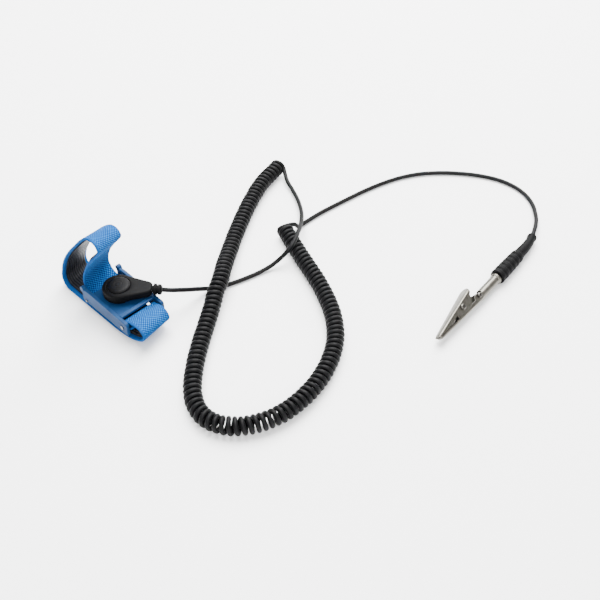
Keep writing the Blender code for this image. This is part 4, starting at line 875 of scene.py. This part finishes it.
# %% [markdown]
# The pieces whose shape is already right stay as they are and get a proper finish: the moulded buckle and
# its clamp lever, the pins, the plate, the snap, the resistor and the plug's metal.

# %% Finishes for the buckle and the metal
navy = Finish("blue_plastic", (0.003, 0.028, 0.09), 0.5, specular=0.13)
navy_cloud = navy.noise(150.0, 4.0)
navy_skin = navy.bump(navy.noise(5200.0, 2.0), 0.2, 0.00005)
navy.connect(Base_Color=navy.ramp(navy_cloud, [(0.3, (0.0025, 0.022, 0.075)), (0.75, (0.006, 0.04, 0.115))]),
             Roughness=navy.spread(navy_cloud, 0.4, 0.58),
             Normal=navy.bump(navy_cloud, 0.15, 0.0003, after=navy_skin))
steel = plated("stainless", (0.26, 0.26, 0.25), 0.22, stretch=(1, 12, 1), scratch=0.2)
bronze = plated("spring_bronze", (0.3, 0.22, 0.12), 0.28, dark=0.7)
# The clip's rivet and screw get a darker steel than the clip: painted shade for the dark notch and hollow
# they sit in.
steel_darkened_for_shade = plated("steel_darkened_for_shade", (0.1, 0.095, 0.085), 0.25, dark=0.6)
ceramic = moulded("resistor_body", (0.55, 0.42, 0.24), 0.4, 0.5)
FINISHES = {
    "buckle_frame": navy.material, "clamp_lever": navy.material, "bar_pin": steel, "lever_pin": steel,
    "skin_plate": steel, "snap_stud": steel, "stud_rivet": steel, "snap_socket": steel, "socket_ring": bronze,
    "resistor": ceramic, "resistor_leg_socket": nickel, "resistor_leg_cord": nickel, "plug_pin": nickel,
    "bow_spring": bronze, "clip_rivet": steel_darkened_for_shade, "clip_screw": steel_darkened_for_shade, "clip_spring": steel,
}
for node_name, finish in FINISHES.items():
    for slot in nodes[node_name].material_slots:
        slot.material = finish
print("finished nodes:", len(FINISHES))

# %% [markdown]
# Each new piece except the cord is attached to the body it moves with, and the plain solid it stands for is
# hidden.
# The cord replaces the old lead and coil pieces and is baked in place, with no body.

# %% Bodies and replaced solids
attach(band, "strap")
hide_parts("band_fabric")
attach(lining, "strap")
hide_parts("band_lining")
for piece, replaced, slot in ((shell, "connector_housing", "black_plastic"),
                              (cap, "connector_cap", "black_gloss"),
                              (relief, "strain_relief", "black_plastic")):
    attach(piece, "connector")
    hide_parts(replaced)
for piece, replaced in ((handle, "plug_handle"), (boot, "plug_boot")):
    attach(piece, "root")
    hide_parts(replaced)
for piece in (lower, barrel):
    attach(piece, "clip")
    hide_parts("clip_lower_jaw")
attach(upper, "upper_jaw")
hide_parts("clip_upper_jaw")

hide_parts("lead_a", "coil", "lead_b")
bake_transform(cord)

# %% [markdown]
# A plain pale floor and three soft lights: a broad one from above left, a fill from the camera's side and
# a low one from behind that draws bright lines along the black cord.

# %% Floor and lights
floor_mesh = bpy.data.meshes.new("floor")
floor_mesh.from_pydata([(-3, -3, -0.0002), (3, -3, -0.0002), (3, 3, -0.0002), (-3, 3, -0.0002)], [],
                       [(0, 1, 2, 3)])
floor = bpy.data.objects.new("floor", floor_mesh)
bpy.context.scene.collection.objects.link(floor)
paper = Finish("pale_floor", (0.97, 0.97, 0.97), 0.9, specular=0.1)
floor_mesh.materials.append(paper.material)


def soft_light(name, place, size, power):
    """A square area light that faces the middle of the object."""
    lamp = bpy.data.lights.new(name, "AREA")
    lamp.energy = power
    lamp.size = size
    light = bpy.data.objects.new(name, lamp)
    light.location = place
    light.rotation_euler = (VIEW_TARGET - Vector(place)).to_track_quat("-Z", "Y").to_euler()
    bpy.context.scene.collection.objects.link(light)


soft_light("above", (-0.25, 0.35, 0.95), 0.9, 62.0)
soft_light("front", (0.7, -0.45, 0.8), 0.7, 14.0)
soft_light("behind", (-0.3, 0.9, 0.5), 0.5, 10.0)
world = bpy.data.worlds.new("studio")
world.use_nodes = True
world.node_tree.nodes["Background"].inputs["Color"].default_value = (1, 1, 1, 1)
world.node_tree.nodes["Background"].inputs["Strength"].default_value = 0.9
bpy.context.scene.world = world
